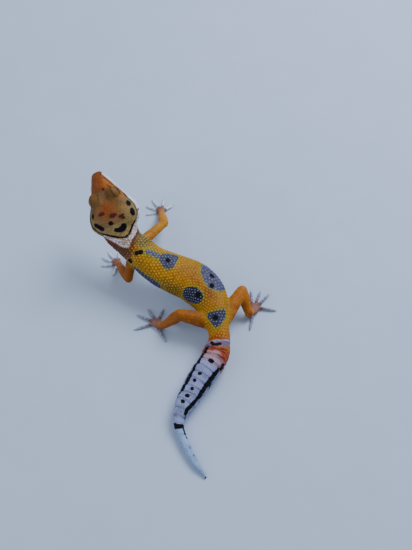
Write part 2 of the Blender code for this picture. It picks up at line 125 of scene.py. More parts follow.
paint, tree, shader = new_material("matt_floor_paint")
grain = add(tree, "ShaderNodeTexNoise", {"Scale": 1.0 / (FLOOR_GRAIN * MM), "Detail": 3.0})
tint = add(tree, "ShaderNodeMixRGB", {"Fac": grain, "Color1": linear("#C0CDE0"), "Color2": linear("#C8D4E5")})
tree.links.new(tint.outputs["Color"], shader.inputs["Base Color"])
shader.inputs["Roughness"].default_value = 0.9
corners = [(x * FLOOR_HALF, y * FLOOR_HALF, 0) for x, y in ((-1, -1), (1, -1), (1, 1), (-1, 1))]
show("floor", corners, [(0, 1, 2, 3)], paint, smooth=False)

# Skin: one soft hide over head, body, legs and feet. A young leopard gecko's is thin and dry, with bead-like
# scales too small to see one by one, folds at the neck and leg roots, and rings round the fat-filled tail.
# It is made as overlapping closed forms that are fused to one surface and then smoothed where they meet.
SNOUT_TIP = np.array((-26.4, 39.9, 25.5))
HEAD_TURN = math.radians(27.8)
HEAD_RAISE = math.radians(33.0)
HEAD_ROLL = math.radians(34.0)
HEAD_LENGTH = 18.5
HEAD_STATIONS = [
    (0.25, 1.25, 0.90, 0.60, 0.00),
    (0.80, 1.85, 1.45, 0.90, 0.00),
    (1.70, 2.45, 2.00, 1.15, 0.00),
    (3.00, 3.15, 2.60, 1.40, -0.05),
    (4.60, 3.90, 3.25, 1.70, -0.15),
    (6.20, 4.60, 3.80, 2.00, -0.30),
    (8.00, 5.45, 4.30, 2.35, -0.40),
    (10.00, 6.50, 4.65, 2.70, -0.20),
    (12.00, 7.45, 4.85, 3.00, 0.00),
    (13.80, 8.10, 4.90, 3.20, 0.10),
    (15.50, 8.30, 4.80, 3.25, 0.15),
    (17.00, 7.70, 4.60, 3.20, 0.15),
    (HEAD_LENGTH, 6.50, 4.30, 3.15, 0.15),
]
SNOUT_ROUNDING = ((0.02, 0.35), (0.08, 0.66), (0.16, 0.87))
HEAD_MIDDLE = (11.0, 0.0, 0.6)
HEAD_REACH = 13.0
MOUTH_END = 10.2
MOUTH_CURL = 0.28
MOUTH_CURL_START = 7.6
EYE_BACK = 8.2
EYE_SIDE = 3.17
EYE_HEIGHT = 1.97
EYE_RADIUS = 1.85
LID_THICKNESS = 0.38
EYE_FORWARD = math.radians(18.0)
EYE_UPWARD = math.radians(5.0)
LID_OPENING = (1.8, 0.56)
LID_SLANT = math.radians(8.0)
EAR = (15.7, 8.1, 0.2)
EAR_SIZE = (1.5, 0.62, 1.05)
NOSTRIL = (1.0, 1.5, 1.0)
NOSTRIL_SIZE = (0.34, 0.42, 0.30)
SPINE_STATIONS = [
    (-16.5, 22.5, 13.0, 4.65, 4.15),
    (-13.0, 20.0, 11.3, 4.95, 4.60),
    (-9.3, 17.1, 9.9, 5.35, 4.80),
    (-6.1, 15.5, 9.0, 5.95, 4.90),
    (-1.6, 13.7, 8.2, 6.40, 5.00),
    (3.4, 11.4, 7.6, 6.60, 4.90),
    (7.1, 7.7, 7.1, 6.15, 4.70),
    (9.5, 3.3, 6.6, 4.85, 4.20),
    (10.7, -3.2, 5.8, 3.45, 3.40),
    (11.1, -7.4, 5.1, 3.30, 3.05),
    (10.4, -10.6, 4.8, 4.05, 3.60),
    (8.6, -14.9, 4.6, 4.00, 3.60),
    (6.2, -18.4, 4.4, 3.90, 3.50),
    (4.0, -22.0, 4.1, 3.65, 3.30),
    (2.0, -25.6, 3.6, 3.25, 3.00),
    (0.3, -28.7, 3.0, 2.60, 2.40),
    (-0.7, -31.5, 2.3, 1.75, 1.70),
    (-0.6, -33.8, 1.9, 1.43, 1.40),
    (0.2, -36.4, 1.4, 1.36, 1.30),
    (1.5, -39.4, 1.15, 1.35, 1.25),
    (3.0, -42.4, 1.0, 1.22, 1.10),
    (4.7, -45.3, 0.8, 0.98, 0.90),
    (6.3, -47.4, 0.5, 0.58, 0.58),
    (7.0, -48.5, 0.32, 0.30, 0.34),
]
NAPE_SIZE = (6.0, 3.75)
NAPE_RISE = 0.6
ROLL_END = 13.0
LEGS = {
    "arm_right": ((-14.5, 23.0, 9.6), (-6.2, 33.8, 7.0), (-7.4, 41.2, 1.9)),
    "arm_left": ((-15.5, 20.6, 8.8), (-16.9, 14.7, 4.6), (-20.1, 21.3, 1.8)),
    "leg_left": ((9.3, -1.3, 5.6), (-0.7, 0.4, 7.0), (-5.9, -0.5, 1.9)),
    "leg_right": ((11.5, -1.7, 5.5), (18.0, 8.4, 7.4), (20.1, 3.5, 1.9)),
}
LEG_RADII = {
    "arm": ((1.9, 1.75, 1.5, 1.45), (1.5, 1.55, 1.3, 1.0)),
    "leg": ((2.6, 2.5, 2.15, 1.85), (1.85, 1.85, 1.45, 1.1)),
}
PALM_HALF_WIDTH = {"arm": 1.3, "leg": 1.5}
PALMS = {
    "arm_right": (-7.6, 43.2), "arm_left": (-21.1, 22.9), "leg_left": (-8.0, 1.0), "leg_right": (22.2, 6.3),
}
TOES = {
    "arm_right": (
        (-8.7, 42.6, -11.8, 41.8), (-8.7, 43.5, -11.9, 44.8), (-8.1, 44.2, -10.3, 47.3),
        (-7.2, 44.4, -6.7, 48.0), (-6.4, 43.5, -3.9, 45.3),
    ),
    "arm_left": (
        (-20.5, 23.9, -20.7, 27.2), (-21.5, 24.0, -23.7, 26.6), (-22.2, 23.3, -25.3, 24.8),
        (-22.1, 22.4, -25.3, 22.0), (-21.2, 21.8, -21.9, 19.0),
    ),
    "leg_left": (
        (-7.3, 2.5, -6.2, 5.7), (-8.5, 2.4, -10.6, 5.7), (-9.4, 1.7, -13.6, 3.8),
        (-9.5, 0.6, -14.2, -0.9), (-7.5, -0.6, -5.3, -4.7),
    ),
    "leg_right": (
        (21.4, 7.6, 21.1, 12.3), (22.5, 7.9, 23.9, 12.2), (23.4, 7.5, 26.4, 11.2),
        (23.7, 6.4, 28.2, 5.7), (21.7, 4.5, 20.6, -0.6),
    ),
}
TOE_RADII = (0.48, 0.40, 0.43, 0.33)
SOLE = 0.05
COAT_DEPTH = 0.10
SKIN_GRID = 0.205


def curve_through(knots, rows, at, first_slope=None):
    """Smooth curve through rows of numbers, read at an array of places."""
    knots = np.asarray(knots, float)
    rows = np.asarray(rows, float)
    slopes = np.gradient(rows, knots, axis=0)
    if first_slope is not None:
        slopes[0] = first_slope
    at = np.clip(np.atleast_1d(at).astype(float), knots[0], knots[-1])
    i = np.clip(np.searchsorted(knots, at, side="right") - 1, 0, len(knots) - 2)
    span = (knots[i + 1] - knots[i])[:, None]
    t = (at - knots[i])[:, None] / span
    before = (1 + 2 * t) * (1 - t) ** 2 * rows[i] + t * (1 - t) ** 2 * span * slopes[i]
    return before + t * t * (3 - 2 * t) * rows[i + 1] + t * t * (t - 1) * span * slopes[i + 1]


def unit(vectors):
    """The same directions at length 1."""
    return vectors / np.maximum(np.linalg.norm(vectors, axis=-1, keepdims=True), 1e-12)


def ease(value, low, high):
    """0 below low, 1 above high and a smooth step between."""
    t = np.clip((value - low) / (high - low), 0.0, 1.0)
    return t * t * (3 - 2 * t)


def hill(value, middle, spread):
    """1 at the middle, falling off smoothly on both sides."""
    return np.exp(-((value - middle) / spread) ** 2)


def head_frame():
    """Right, forward and up of the turned, raised and rolled head, as the rows of a matrix."""
    forward = np.array((
        -math.sin(HEAD_TURN) * math.cos(HEAD_RAISE), math.cos(HEAD_TURN) * math.cos(HEAD_RAISE),
        math.sin(HEAD_RAISE),
    ))
    level = np.array((math.cos(HEAD_TURN), math.sin(HEAD_TURN), 0.0))
    crown = np.cross(level, forward)
    right = level * math.cos(HEAD_ROLL) + crown * math.sin(HEAD_ROLL)
    return np.array((right, forward, crown * math.cos(HEAD_ROLL) - level * math.sin(HEAD_ROLL)))


HEAD = head_frame()


def on_head(back, side, height):
    """Places in the head's own frame: behind the snout's tip, to the right, above the mouth."""
    local = np.stack(np.broadcast_arrays(side, -np.asarray(back, float), height), axis=-1)
    return SNOUT_TIP + local @ HEAD


def in_head(points):
    """Distance behind the snout's tip, to the right and above the mouth of each point."""
    local = (points - SNOUT_TIP) @ HEAD.T
    return -local[:, 1], local[:, 0], local[:, 2]


def head_sizes(back):
    """Half width, crown, chin and lift of the mouth line at each distance behind the tip."""
    stations = np.array(HEAD_STATIONS)
    return curve_through(stations[:, 0], stations[:, 1:], back).T


def near_head(points):
    """Whether each point lies near enough to the middle of the head to be on it."""
    return np.linalg.norm(points - on_head(*HEAD_MIDDLE), axis=1) < HEAD_REACH


def mouth_line(back):
    """Height of the line between the lips, which turns up at the corners of the mouth."""
    return head_sizes(back)[3] + MOUTH_CURL * ease(back, MOUTH_CURL_START, MOUTH_END)


def oval(angle, fullness):
    """Points of a unit outline, a circle at fullness 2 and boxier above it."""
    across, along = np.cos(angle), np.sin(angle)
    power = 2.0 / fullness
    return np.sign(across) * np.abs(across) ** power, np.sign(along) * np.abs(along) ** power


def head_ring(back, shrink=1.0):
    """Ring of 96 points round the head, fuller above the mouth line than below it."""
    width, crown, chin, lift = head_sizes(back)[:, 0] * shrink
    angle = np.linspace(0.0, 2.0 * math.pi, 96, endpoint=False)
    x, z = oval(angle, 1.75 + 0.65 * float(ease(back, 6.0, 12.0)))
    low_x, low_z = oval(angle, 2.2)
    below = z < 0
    side = np.where(below, low_x * 0.985, x) * width
    return on_head(back, side, np.where(below, low_z * chin, z * crown) + lift)


def spine_rows():
    """Distances behind the nape and the body's rows of place and half sizes there."""
    nape = on_head(HEAD_LENGTH, 0.0, NAPE_RISE)
    rows = np.array([(*nape, *NAPE_SIZE)] + SPINE_STATIONS)
    steps = np.linalg.norm(np.diff(rows[:, :3], axis=0), axis=1)
    return np.concatenate([[0.0], np.cumsum(steps)]), rows


def spine_at(along):
    """Middle, right, up, tailward direction, half width and half depth at each distance."""
    knots, rows = spine_rows()
    start = np.array((*-HEAD[1], -0.15, 0.0))
    along = np.atleast_1d(along).astype(float)
    here = curve_through(knots, rows, along, start)
    before, after = (curve_through(knots, rows, along + step, start)[:, :3] for step in (-0.05, 0.05))
    tailward = unit(after - before)
    level = unit(np.cross(-tailward, (0.0, 0.0, 1.0)))
    above = np.cross(level, -tailward)
    roll = (HEAD_ROLL * (1.0 - ease(along, 0.0, ROLL_END)))[:, None]
    right = level * np.cos(roll) + above * np.sin(roll)
    up = above * np.cos(roll) - level * np.sin(roll)
    return here[:, :3], right, up, tailward, here[:, 3], here[:, 4]


def shell(rings):
    """Points and faces of a closed form through rings of points, its ends closed to their middles."""
    rings = np.asarray(rings)
    count, sides = rings.shape[:2]
    points = np.vstack([rings.reshape(-1, 3), rings[0].mean(0), rings[-1].mean(0)])
    i = np.arange(sides)
    j = (i + 1) % sides
    rows = np.arange(count - 1)[:, None] * sides
    quads = np.stack([rows + i, rows + j, rows + sides + j, rows + sides + i], axis=-1).reshape(-1, 4)
    last = (count - 1) * sides
    first_cap = np.stack([j, i, np.full(sides, count * sides)], axis=1)
    last_cap = np.stack([last + i, last + j, np.full(sides, count * sides + 1)], axis=1)
    return points, quads.tolist() + first_cap.tolist() + last_cap.tolist()


def tube(path, sizes, sides, steps, round_start=True, round_end=True):
    """Closed tube through points, each with its half width and half depth, with round ends."""
    path, sizes = np.asarray(path, float), np.asarray(sizes, float)
    knots = np.concatenate([[0.0], np.cumsum(np.linalg.norm(np.diff(path, axis=0), axis=1))])
    along = np.linspace(0.0, knots[-1], steps)
    rows = np.hstack([path, sizes])
    here = curve_through(knots, rows, along)
    ahead = unit((curve_through(knots, rows, along + 0.02) - curve_through(knots, rows, along - 0.02))[:, :3])
    right = unit(np.cross(ahead, (0.0, 0.0, 1.0)))
    up = np.cross(right, ahead)
    angle = np.linspace(0.0, 2.0 * math.pi, sides, endpoint=False)
    rings = []
    bends = np.radians((80.0, 62.0, 44.0, 28.0, 14.0))
    spots = []
    if round_start:
        spots += [(0, -math.sin(b), math.cos(b)) for b in bends]
    spots += [(i, 0.0, 1.0) for i in range(steps)]
    if round_end:
        spots += [(steps - 1, math.sin(b), math.cos(b)) for b in bends[::-1]]
    for i, push, shrink in spots:
        middle = here[i, :3] + ahead[i] * (push * here[i, 4])
        rings.append(
            middle + right[i] * (here[i, 3] * shrink * np.cos(angle))[:, None]
            + up[i] * (here[i, 4] * shrink * np.sin(angle))[:, None]
        )
    return shell(rings)


def eye_frame(side):
    """Matrix whose rows run along the lids, up across them and out of the eye."""
    outward = np.array((
        side * math.cos(EYE_FORWARD) * math.cos(EYE_UPWARD), math.sin(EYE_FORWARD) * math.cos(EYE_UPWARD),
        math.sin(EYE_UPWARD),
    ))
    along = unit(np.cross(outward, (0.0, 0.0, 1.0)))
    across = np.cross(along, outward)
    lean = side * LID_SLANT
    turned_along = along * math.cos(lean) + np.cross(outward, along) * math.sin(lean)
    turned_across = across * math.cos(lean) + np.cross(outward, across) * math.sin(lean)
    return np.array((turned_along, turned_across, outward)) @ HEAD


def round_eye(points, side):
    """Distance of each point from the middle of an eye, and how squarely it lies before the lids."""
    gap = points - on_head(EYE_BACK, side * EYE_SIDE, EYE_HEIGHT)
    reach = np.linalg.norm(gap, axis=1)
    return reach, (gap @ eye_frame(side)[2]) / np.maximum(reach, 0.01)


def ball(centre, sizes, axes, segments=40, rings=24):
    """Points and faces of an ellipsoid with half sizes along the rows of a frame."""
    tilt = np.linspace(-math.pi / 2, math.pi / 2, rings + 1)[1:-1]
    turn = np.linspace(0.0, 2.0 * math.pi, segments, endpoint=False)
    unit_rings = np.stack([
        np.outer(np.cos(tilt), np.cos(turn)), np.outer(np.cos(tilt), np.sin(turn)),
        np.outer(np.sin(tilt), np.ones(segments)),
    ], axis=-1)
    points, faces = shell(unit_rings)
    points[-2:] = ((0, 0, -1), (0, 0, 1))
    if np.linalg.det(axes) < 0:
        faces = [face[::-1] for face in faces]
    return centre + (points * sizes) @ axes, faces


def loose(name, form):
    """Object in millimetres that is only a step on the way to the skin."""
    data = bpy.data.meshes.new(name)
    data.from_pydata(form[0].tolist(), [], form[1])
    item = bpy.data.objects.new(name, data)
    bpy.context.scene.collection.objects.link(item)
    return item


def carve(item, operation, form):
    """Join a form to an object or cut it away."""
    tool = loose("tool", form)
    change = item.modifiers.new("change", "BOOLEAN")
    change.operation = operation
    change.solver = "EXACT"
    change.object = tool
    with bpy.context.temp_override(object=item, active_object=item):
        bpy.ops.object.modifier_apply(modifier=change.name)
    bpy.data.objects.remove(tool)


def head_form():
    """Skull with jaws, lids, sockets, ears and nostrils."""
    rings = [head_ring(0.25, shrink) + HEAD[1] * (0.25 - back) for back, shrink in SNOUT_ROUNDING]
    rings += [head_ring(back) for back in np.arange(0.25, HEAD_LENGTH + 0.2, 0.3)]
    item = loose("head_form", shell(rings))
    lid = EYE_RADIUS + LID_THICKNESS
    for side in (1, -1):
        centre = on_head(EYE_BACK, side * EYE_SIDE, EYE_HEIGHT)
        axes = eye_frame(side)
        carve(item, "UNION", ball(centre, (lid * 1.12, lid, lid), axes))
        carve(item, "DIFFERENCE", ball(centre + axes[2] * lid, (LID_OPENING[0], LID_OPENING[1], lid * 0.8),
            axes))
        carve(item, "DIFFERENCE", ball(centre, (EYE_RADIUS + 0.06,) * 3, axes))
        carve(item, "DIFFERENCE", ball(on_head(EAR[0], side * EAR[1], EAR[2]), EAR_SIZE, HEAD, 24, 14))
        carve(item, "DIFFERENCE", ball(on_head(NOSTRIL[0], side * NOSTRIL[1], NOSTRIL[2]), NOSTRIL_SIZE,
            HEAD, 16, 10))
    return item


def trunk_form():
    """Neck, torso and tail as one long form that starts inside the head."""
    knots, rows = spine_rows()
    along = np.concatenate([np.arange(0.0, knots[-1], 0.35), [knots[-1]]])
    middle, right, up, tailward, width, depth = spine_at(along)
    x, z = oval(np.linspace(0.0, 2.0 * math.pi, 80, endpoint=False), 2.2)
    inset = COAT_DEPTH * (1.0 - ease(along, 75.0, 90.0))
    width, depth = width - inset, depth - inset
    rings = (
        middle[:, None] + right[:, None] * (width[:, None] * x)[..., None] + up[:,
        None] * (depth[:, None] * z)[..., None]
    )
    inside = rings[0] * 0.9 + middle[0] * 0.1 - tailward[0] * 1.6
    nib = rings[-1] * 0.5 + middle[-1] * 0.5 + tailward[-1] * 0.2
    rings = np.concatenate([[inside], rings, [nib]])
    rings[..., 2] = np.maximum(rings[..., 2], 0.02)
    return shell(rings)


def leg_forms(name):
    """Upper and lower length, palm and toes of one leg."""
    kind = name.split("_")[0]
    root, bend, ankle = np.array(LEGS[name], float)
    palm = PALMS[name]
    upper, lower = LEG_RADII[kind]
    width = PALM_HALF_WIDTH[kind]
    forms = []
    for start, end, radii in ((root, bend, upper), (bend, ankle, lower)):
        path = [start + (end - start) * i / 3 for i in range(4)]
        forms.append(tube(path, [(r - 0.03, r - 0.03) for r in radii], 28, 26))
    middle = np.array((palm[0], palm[1], 0.80))
    reach = unit(np.array((middle[0] - ankle[0], middle[1] - ankle[1], 0.0)))
    heel = ankle * 0.55 + middle * 0.45
    heel[2] = 1.15
    path = [ankle, heel, middle, middle + reach * 0.8]
    sizes = [(lower[-1],) * 2, (0.5 * (lower[-1] + width), 1.02), (width, 0.80), (width * 0.8, 0.62)]
    forms.append(tube(path, sizes, 28, 20))
    for knuckle_x, knuckle_y, end_x, end_y in TOES[name]:
        knuckle = np.array((knuckle_x, knuckle_y, 0.64))
        end = np.array((end_x, end_y, TOE_RADII[3] - SOLE))
        arch = knuckle * 0.6 + end * 0.4
        pad = knuckle * 0.25 + end * 0.75
        arch[2] = 0.6
        pad[2] = TOE_RADII[2] - SOLE
        sizes = [(r, r) for r in (TOE_RADII[0],) + TOE_RADII]
        forms.append(tube([middle * 0.55 + knuckle * 0.45, knuckle, arch, pad, end], sizes, 16, 24))
    return forms


def point_places(data):
    """Places of all points of a mesh."""
    places = np.empty(len(data.vertices) * 3)
    data.vertices.foreach_get("co", places)
    return places.reshape(-1, 3)


def corner_numbers(data):
    """Point number of every face corner of a mesh."""
    numbers = np.empty(len(data.loops), int)
    data.loops.foreach_get("vertex_index", numbers)
    return numbers


def fuse(items, grid):
    """One closed surface over all the overlapping forms, as points and four-cornered faces."""
    main = items[0]
    with bpy.context.temp_override(object=main, active_object=main, selected_editable_objects=items,
        selected_objects=items):
        bpy.ops.object.join()
    change = main.modifiers.new("fuse", "REMESH")
    change.mode = "VOXEL"
    change.voxel_size = grid
    with bpy.context.temp_override(object=main, active_object=main):
        bpy.ops.object.modifier_apply(modifier=change.name)
    points = point_places(main.data)
    counts = np.empty(len(main.data.polygons), int)
    main.data.polygons.foreach_get("loop_total", counts)
    faces = np.split(corner_numbers(main.data), np.cumsum(counts)[:-1])
    bpy.data.objects.remove(main)
    return points, faces


items = [head_form(), loose("trunk", trunk_form())]
for name in LEGS:
    for form in leg_forms(name):
        items.append(loose(name, form))
points, faces = fuse(items, SKIN_GRID)


def edge_pairs(faces):
    """Every edge once, as two columns of point numbers."""
    quads = np.array([f for f in faces if len(f) == 4])
    pairs = np.concatenate([quads[:, [0, 1]], quads[:, [1, 2]], quads[:, [2, 3]], quads[:, [3, 0]]])
    for face in faces:
        if len(face) != 4:
            pairs = np.vstack([pairs, np.stack([face, np.roll(face, -1)], axis=1)])
    return np.unique(np.sort(pairs, axis=1), axis=0)


EDGES = edge_pairs(faces)


def spread(values):
    """The mean of each point's neighbours."""
    total = np.zeros_like(values)
    near = np.zeros(len(values))
    for a, b in ((0, 1), (1, 0)):
        near += np.bincount(EDGES[:, a], minlength=len(values))
        for k in range(values.shape[1]):
            total[:, k] += np.bincount(EDGES[:, a], weights=values[EDGES[:, b], k], minlength=len(values))
    return total / np.maximum(near, 1)[:, None]


def relax(points, weight, rounds):
    """Smooth the surface where the weight says so."""
    for _ in range(rounds):
        points = points + weight[:, None] * 0.5 * (spread(points) - points)
    return points


def polish(points, rounds):
    """Smooth the surface all over without thinning it."""
    for _ in range(rounds):
        points = points + 0.5 * (spread(points) - points)
        points = points - 0.52 * (spread(points) - points)
    return points


def normals_of(points, faces):
    """Outward direction at each point."""
    quads = np.array([f if len(f) == 4 else (*f, f[2]) for f in faces])
    a, b, c, d = (points[quads[:, k]] for k in range(4))
    flat = np.cross(c - a, d - b)
    total = np.zeros_like(points)
    for k in range(4):
        for axis in range(3):
            total[:, axis] += np.bincount(quads[:, k], weights=flat[:, axis], minlength=len(points))
    return unit(total)


SPINE_STEP = 0.25
AT_ONCE = 20000
SPINE_SAMPLES = np.arange(0.0, spine_rows()[0][-1], SPINE_STEP)
SPINE = spine_at(SPINE_SAMPLES)


def chart(points):
    """Place of each point on the hide: along the body behind the nape, around it from the middle of the
    back to the right, the angle round it, and how far out it lies as a share of the body's own size."""
    back, side, height = in_head(points)
    width, crown, chin, lift = head_sizes(back)
    origin = lift + (NAPE_RISE - lift) * ease(back, 14.5, HEAD_LENGTH)
    above = crown - (origin - lift)
    below = chin + (origin - lift)
    rise = height - origin
    tall = np.where(rise >= 0, above, below)
    head_angle = np.arctan2(side / width, rise / tall)
    head_out = np.hypot(side / width, rise / tall)
    middle, right, up, tailward, half_width, half_depth = SPINE
    nearest = np.empty(len(points), int)
    for start in range(0, len(points), AT_ONCE):
        part = points[start:start + AT_ONCE]
        gap = part[:, None] - middle
        nearest[start:start + AT_ONCE] = np.argmin((gap ** 2).sum(2) / (half_width * half_depth), axis=1)
    gap = points - middle[nearest]
    along = SPINE_SAMPLES[nearest] + (gap * tailward[nearest]).sum(1)
    x = (gap * right[nearest]).sum(1) / half_width[nearest]
    z = (gap * up[nearest]).sum(1) / half_depth[nearest]
    angle = np.arctan2(x, z)
    on_it = (back < HEAD_LENGTH) & near_head(points)
    mean = np.where(on_it, (width + above) / 2, (half_width[nearest] + half_depth[nearest]) / 2)
    angle = np.where(on_it, head_angle, angle)
    return (
        np.where(on_it, back - HEAD_LENGTH, along), angle * mean, angle,
        np.where(on_it, head_out, np.hypot(x, z)),
    )


def near_line(points, start, end):
    """Distance of each point from a straight line between two places, and how far along it."""
    start, end = np.asarray(start, float), np.asarray(end, float)
    way = end - start
    part = np.clip(((points - start) @ way) / (way @ way), 0.0, 1.0)
    return np.linalg.norm(points - start - part[:, None] * way, axis=1), part


def line_distance(along, around, half_width, places):
    """Distance outside a line of some width, negative inside it."""
    nearest = np.full(len(along), 1e9)
    for (a0, b0), (a1, b1) in zip(places, places[1:]):
        dx, dy = a1 - a0, b1 - b0
        part = np.clip(((along - a0) * dx + (around - b0) * dy) / (dx * dx + dy * dy), 0.0, 1.0)
        nearest = np.minimum(nearest, np.hypot(along - a0 - part * dx, around - b0 - part * dy))
    return nearest - half_width


points = polish(points, 2)
along, around, angle, out = chart(points)
joined = hill(along, 0.3, 2.2) * (out > 0.75)
for name, (root, bend, ankle) in LEGS.items():
    radius = LEG_RADII[name.split("_")[0]][0][0]
    off, part = near_line(points, root, bend)
    joined = np.maximum(joined, ease(-off, -radius - 2.2, -radius - 0.6) * hill(out, 1.1, 0.3))
    joined = np.maximum(joined, 0.7 * ease(-np.linalg.norm(points - bend, axis=1), -3.2, -1.6))
    joined = np.maximum(joined, 0.5 * ease(-np.linalg.norm(points - ankle, axis=1), -2.2, -1.0))
joined *= 1.0 - np.maximum(*[
    hill(np.linalg.norm(points - on_head(EAR[0], side * EAR[1], EAR[2]), axis=1), 0.0, 1.6)
    for side in (1, -1)
])
for side in (1, -1):
    reach, facing = round_eye(points, side)
    round_lids = hill(reach, EYE_RADIUS + LID_THICKNESS + 0.35, 0.45) * (1.0 - ease(facing, 0.35, 0.6))
    joined = np.maximum(joined, 0.45 * round_lids)
points = relax(points, np.clip(joined, 0.0, 1.0), 36)
points = polish(points, 2)


def limb_share(points):
    """How surely each point is on a leg, how far along that leg, 0 at its root and 3 at the palm, how far
    out on a toe it lies, 0 at the knuckle and 1 at the claw, and whether the leg is a left one."""
    share, along_leg, along_toe, left = np.zeros((4, len(points)))
    out = chart(points)[3]
    for name, (root, bend, ankle) in LEGS.items():
        palm = (*PALMS[name], 0.8)
        places = (root, bend, ankle, palm)
        nearest = np.full(len(points), 1e9)
        step = np.zeros(len(points))
        for i in range(3):
            off, part = near_line(points, places[i], places[i + 1])
            step = np.where(off < nearest, i + part, step)
            nearest = np.minimum(nearest, off)
        toe = np.zeros(len(points))
        for knuckle_x, knuckle_y, end_x, end_y in TOES[name]:
            off, part = near_line(points, (knuckle_x, knuckle_y, 0.6), (end_x, end_y, 0.3))
            nearer = off < nearest
            toe = np.where(nearer, part, toe)
            step = np.where(nearer, 3.0, step)
            nearest = np.minimum(nearest, off)
        here = ease(-nearest, -3.6, -2.6) * ease(out, 1.03, 1.3)
        here = np.where(step > 1.2, ease(-nearest, -3.6, -2.6), here)
        left = np.where(here > share, name.endswith("left"), left)
        along_leg = np.where(here > share, step, along_leg)
        along_toe = np.where(here > share, toe, along_toe)
        share = np.maximum(share, here)
    return share, along_leg, along_toe, left


def unevenness(points, wavelength, seed):
    """Soft random swells between about -1 and 1 over the surface."""
    draw = np.random.default_rng(seed)
    ways = unit(draw.normal(size=(14, 3))) * (2.0 * math.pi / wavelength) * draw.uniform(0.7, 1.4, (14, 1))
    return np.sin(points @ ways.T + draw.uniform(0.0, 6.3, 14)).sum(1) / 5.0


# Rings round the tail, wrinkles at its root, folds of the neck and flank, and the forms of the skull under
# the hide, all as small moves in and out of the smooth surface.
TAIL_RINGS_START = 54.4
TAIL_RING_WIDTH = 2.25
TAIL_TIP_START = 79.0
TIP_RING_WIDTH = 1.35
ROOT_WRINKLES = (50.7, 53.9, 55.3, 56.9)
NECK_FOLDS = (1.2, 3.1, 5.2)


def ring_count(along):
    """How many rings of the tail lie before each place along it."""
    on_tip = (TAIL_TIP_START - TAIL_RINGS_START) / TAIL_RING_WIDTH + (along - TAIL_TIP_START) / TIP_RING_WIDTH
    return np.where(along < TAIL_TIP_START, (along - TAIL_RINGS_START) / TAIL_RING_WIDTH, on_tip)


along, around, angle, out = chart(points)
back, side, height = in_head(points)
limb, along_leg, along_toe, left = limb_share(points)
trunk = 1.0 - limb
body = trunk * ease(along, -0.5, 0.5)
skull = trunk * (1.0 - ease(along, -2.0, 0.0)) * near_head(points)
move = 0.035 * unevenness(points, 3.2, 5)

bent = along + 0.3 * np.cos(angle) + 0.12 * np.sin(2.0 * angle + along)
count = ring_count(bent)
width = np.where(bent < TAIL_TIP_START, TAIL_RING_WIDTH, TIP_RING_WIDTH)
off = np.abs(count - np.round(count)) * width
fade = ease(along, 54.0, 57.0) * (1.0 - 0.75 * ease(along, 76.0, 82.0)) * (1.0 - ease(along, 92.0, 95.0))
move += body * fade * (0.07 - 0.27 * hill(off, 0.0, 0.24))
for i, place in enumerate(ROOT_WRINKLES):
    wave = place + 0.45 * np.sin(1.7 * angle + 2.1 * i) + 0.2 * np.sin(4.0 * angle + i)
    move -= body * 0.22 * hill(along, wave, 0.26)
for i, place in enumerate(NECK_FOLDS):
    wave = place + 0.5 * np.cos(angle) + 0.25 * np.sin(3.0 * angle + i)
    move -= body * (0.05 + 0.12 * (1.0 - np.cos(angle)) / 2) * hill(along, wave, 0.4)
flank = ease(along, 10.0, 15.0) * (1.0 - ease(along, 36.0, 41.0))
for turn, depth in ((96.0, 0.09), (112.0, 0.07)):
    lean = np.radians(turn) + 0.08 * np.sin(along * 0.7)
    move -= body * flank * depth * hill(np.abs(angle), lean, 0.09)

line = mouth_line(back)
mouth = skull * (1.0 - ease(back, MOUTH_END - 0.5, MOUTH_END + 0.5)) * ease(out, 0.8, 0.9)
above_eye = skull * ease(height, 1.2, 2.4)
move -= mouth * 0.30 * hill(height, line, 0.16)
move += mouth * (0.14 * hill(height, line + 0.5, 0.32) + 0.08 * hill(height, line - 0.45, 0.3))
cheek = skull * ease(back, 1.6, 3.0) * (1.0 - ease(back, 5.2, 6.6)) * ease(np.abs(side), 1.2, 2.2)
move -= cheek * 0.30 * hill(height, line + 1.55, 0.5)
fold = line_distance(back, np.abs(side), 0.0, ((5.0, 2.3), (6.3, 3.7)))
move -= skull * ease(height, 0.6, 1.2) * 0.18 * hill(fold, 0.0, 0.16)
brow_edge = line_distance(back, np.abs(side), 0.0, ((6.0, 1.35), (8.0, 1.5), (10.4, 2.4)))
move -= skull * ease(height, 0.6, 1.2) * 0.16 * hill(brow_edge, 0.0, 0.28)
behind_eye = line_distance(back, height, 0.0, ((10.2, 1.5), (11.6, 0.9)))
move -= skull * ease(np.abs(side), 4.5, 5.5) * 0.14 * hill(behind_eye, 0.0, 0.2)
move += above_eye * 0.14 * hill(np.abs(side), 1.5 + 0.42 * (back - 1.0), 0.55) * ease(back, 1.0,
    2.0) * (1.0 - ease(back, 5.0, 6.0))
move -= above_eye * 0.22 * hill(side, 0.0, 1.0) * hill(back, 3.6, 1.9)
move -= above_eye * 0.30 * hill(side, 0.0, 1.25) * hill(back, 7.2, 2.2)
move += above_eye * 0.14 * hill(np.abs(side), 4.0, 1.9) * hill(back, 13.2, 2.6)
move -= above_eye * 0.10 * hill(side, 0.0, 1.3) * hill(back, 14.5, 3.0)
move += skull * 0.28 * hill(back, 13.4, 2.3) * hill(height, -0.4, 1.6) * ease(np.abs(side), 4.5, 6.5)
move -= skull * 0.18 * hill(back, 14.9, 0.9) * hill(height, 0.9, 1.3) * ease(np.abs(side), 5.5, 6.5)
move *= 1.0 - 0.85 * limb * ease(along_leg, 2.0, 2.6)
points = points + normals_of(points, faces) * move[:, None]
for centre_side in (1, -1):
    centre = on_head(EYE_BACK, centre_side * EYE_SIDE, EYE_HEIGHT)
    gap = points - centre
    reach = np.linalg.norm(gap, axis=1)
    keep_out = (reach < EYE_RADIUS + 0.03) & (reach > 0.5)
    points = np.where(keep_out[:, None], centre + unit(gap) * (EYE_RADIUS + 0.03), points)
points[:, 2] = np.maximum(points[:, 2], 0.0)


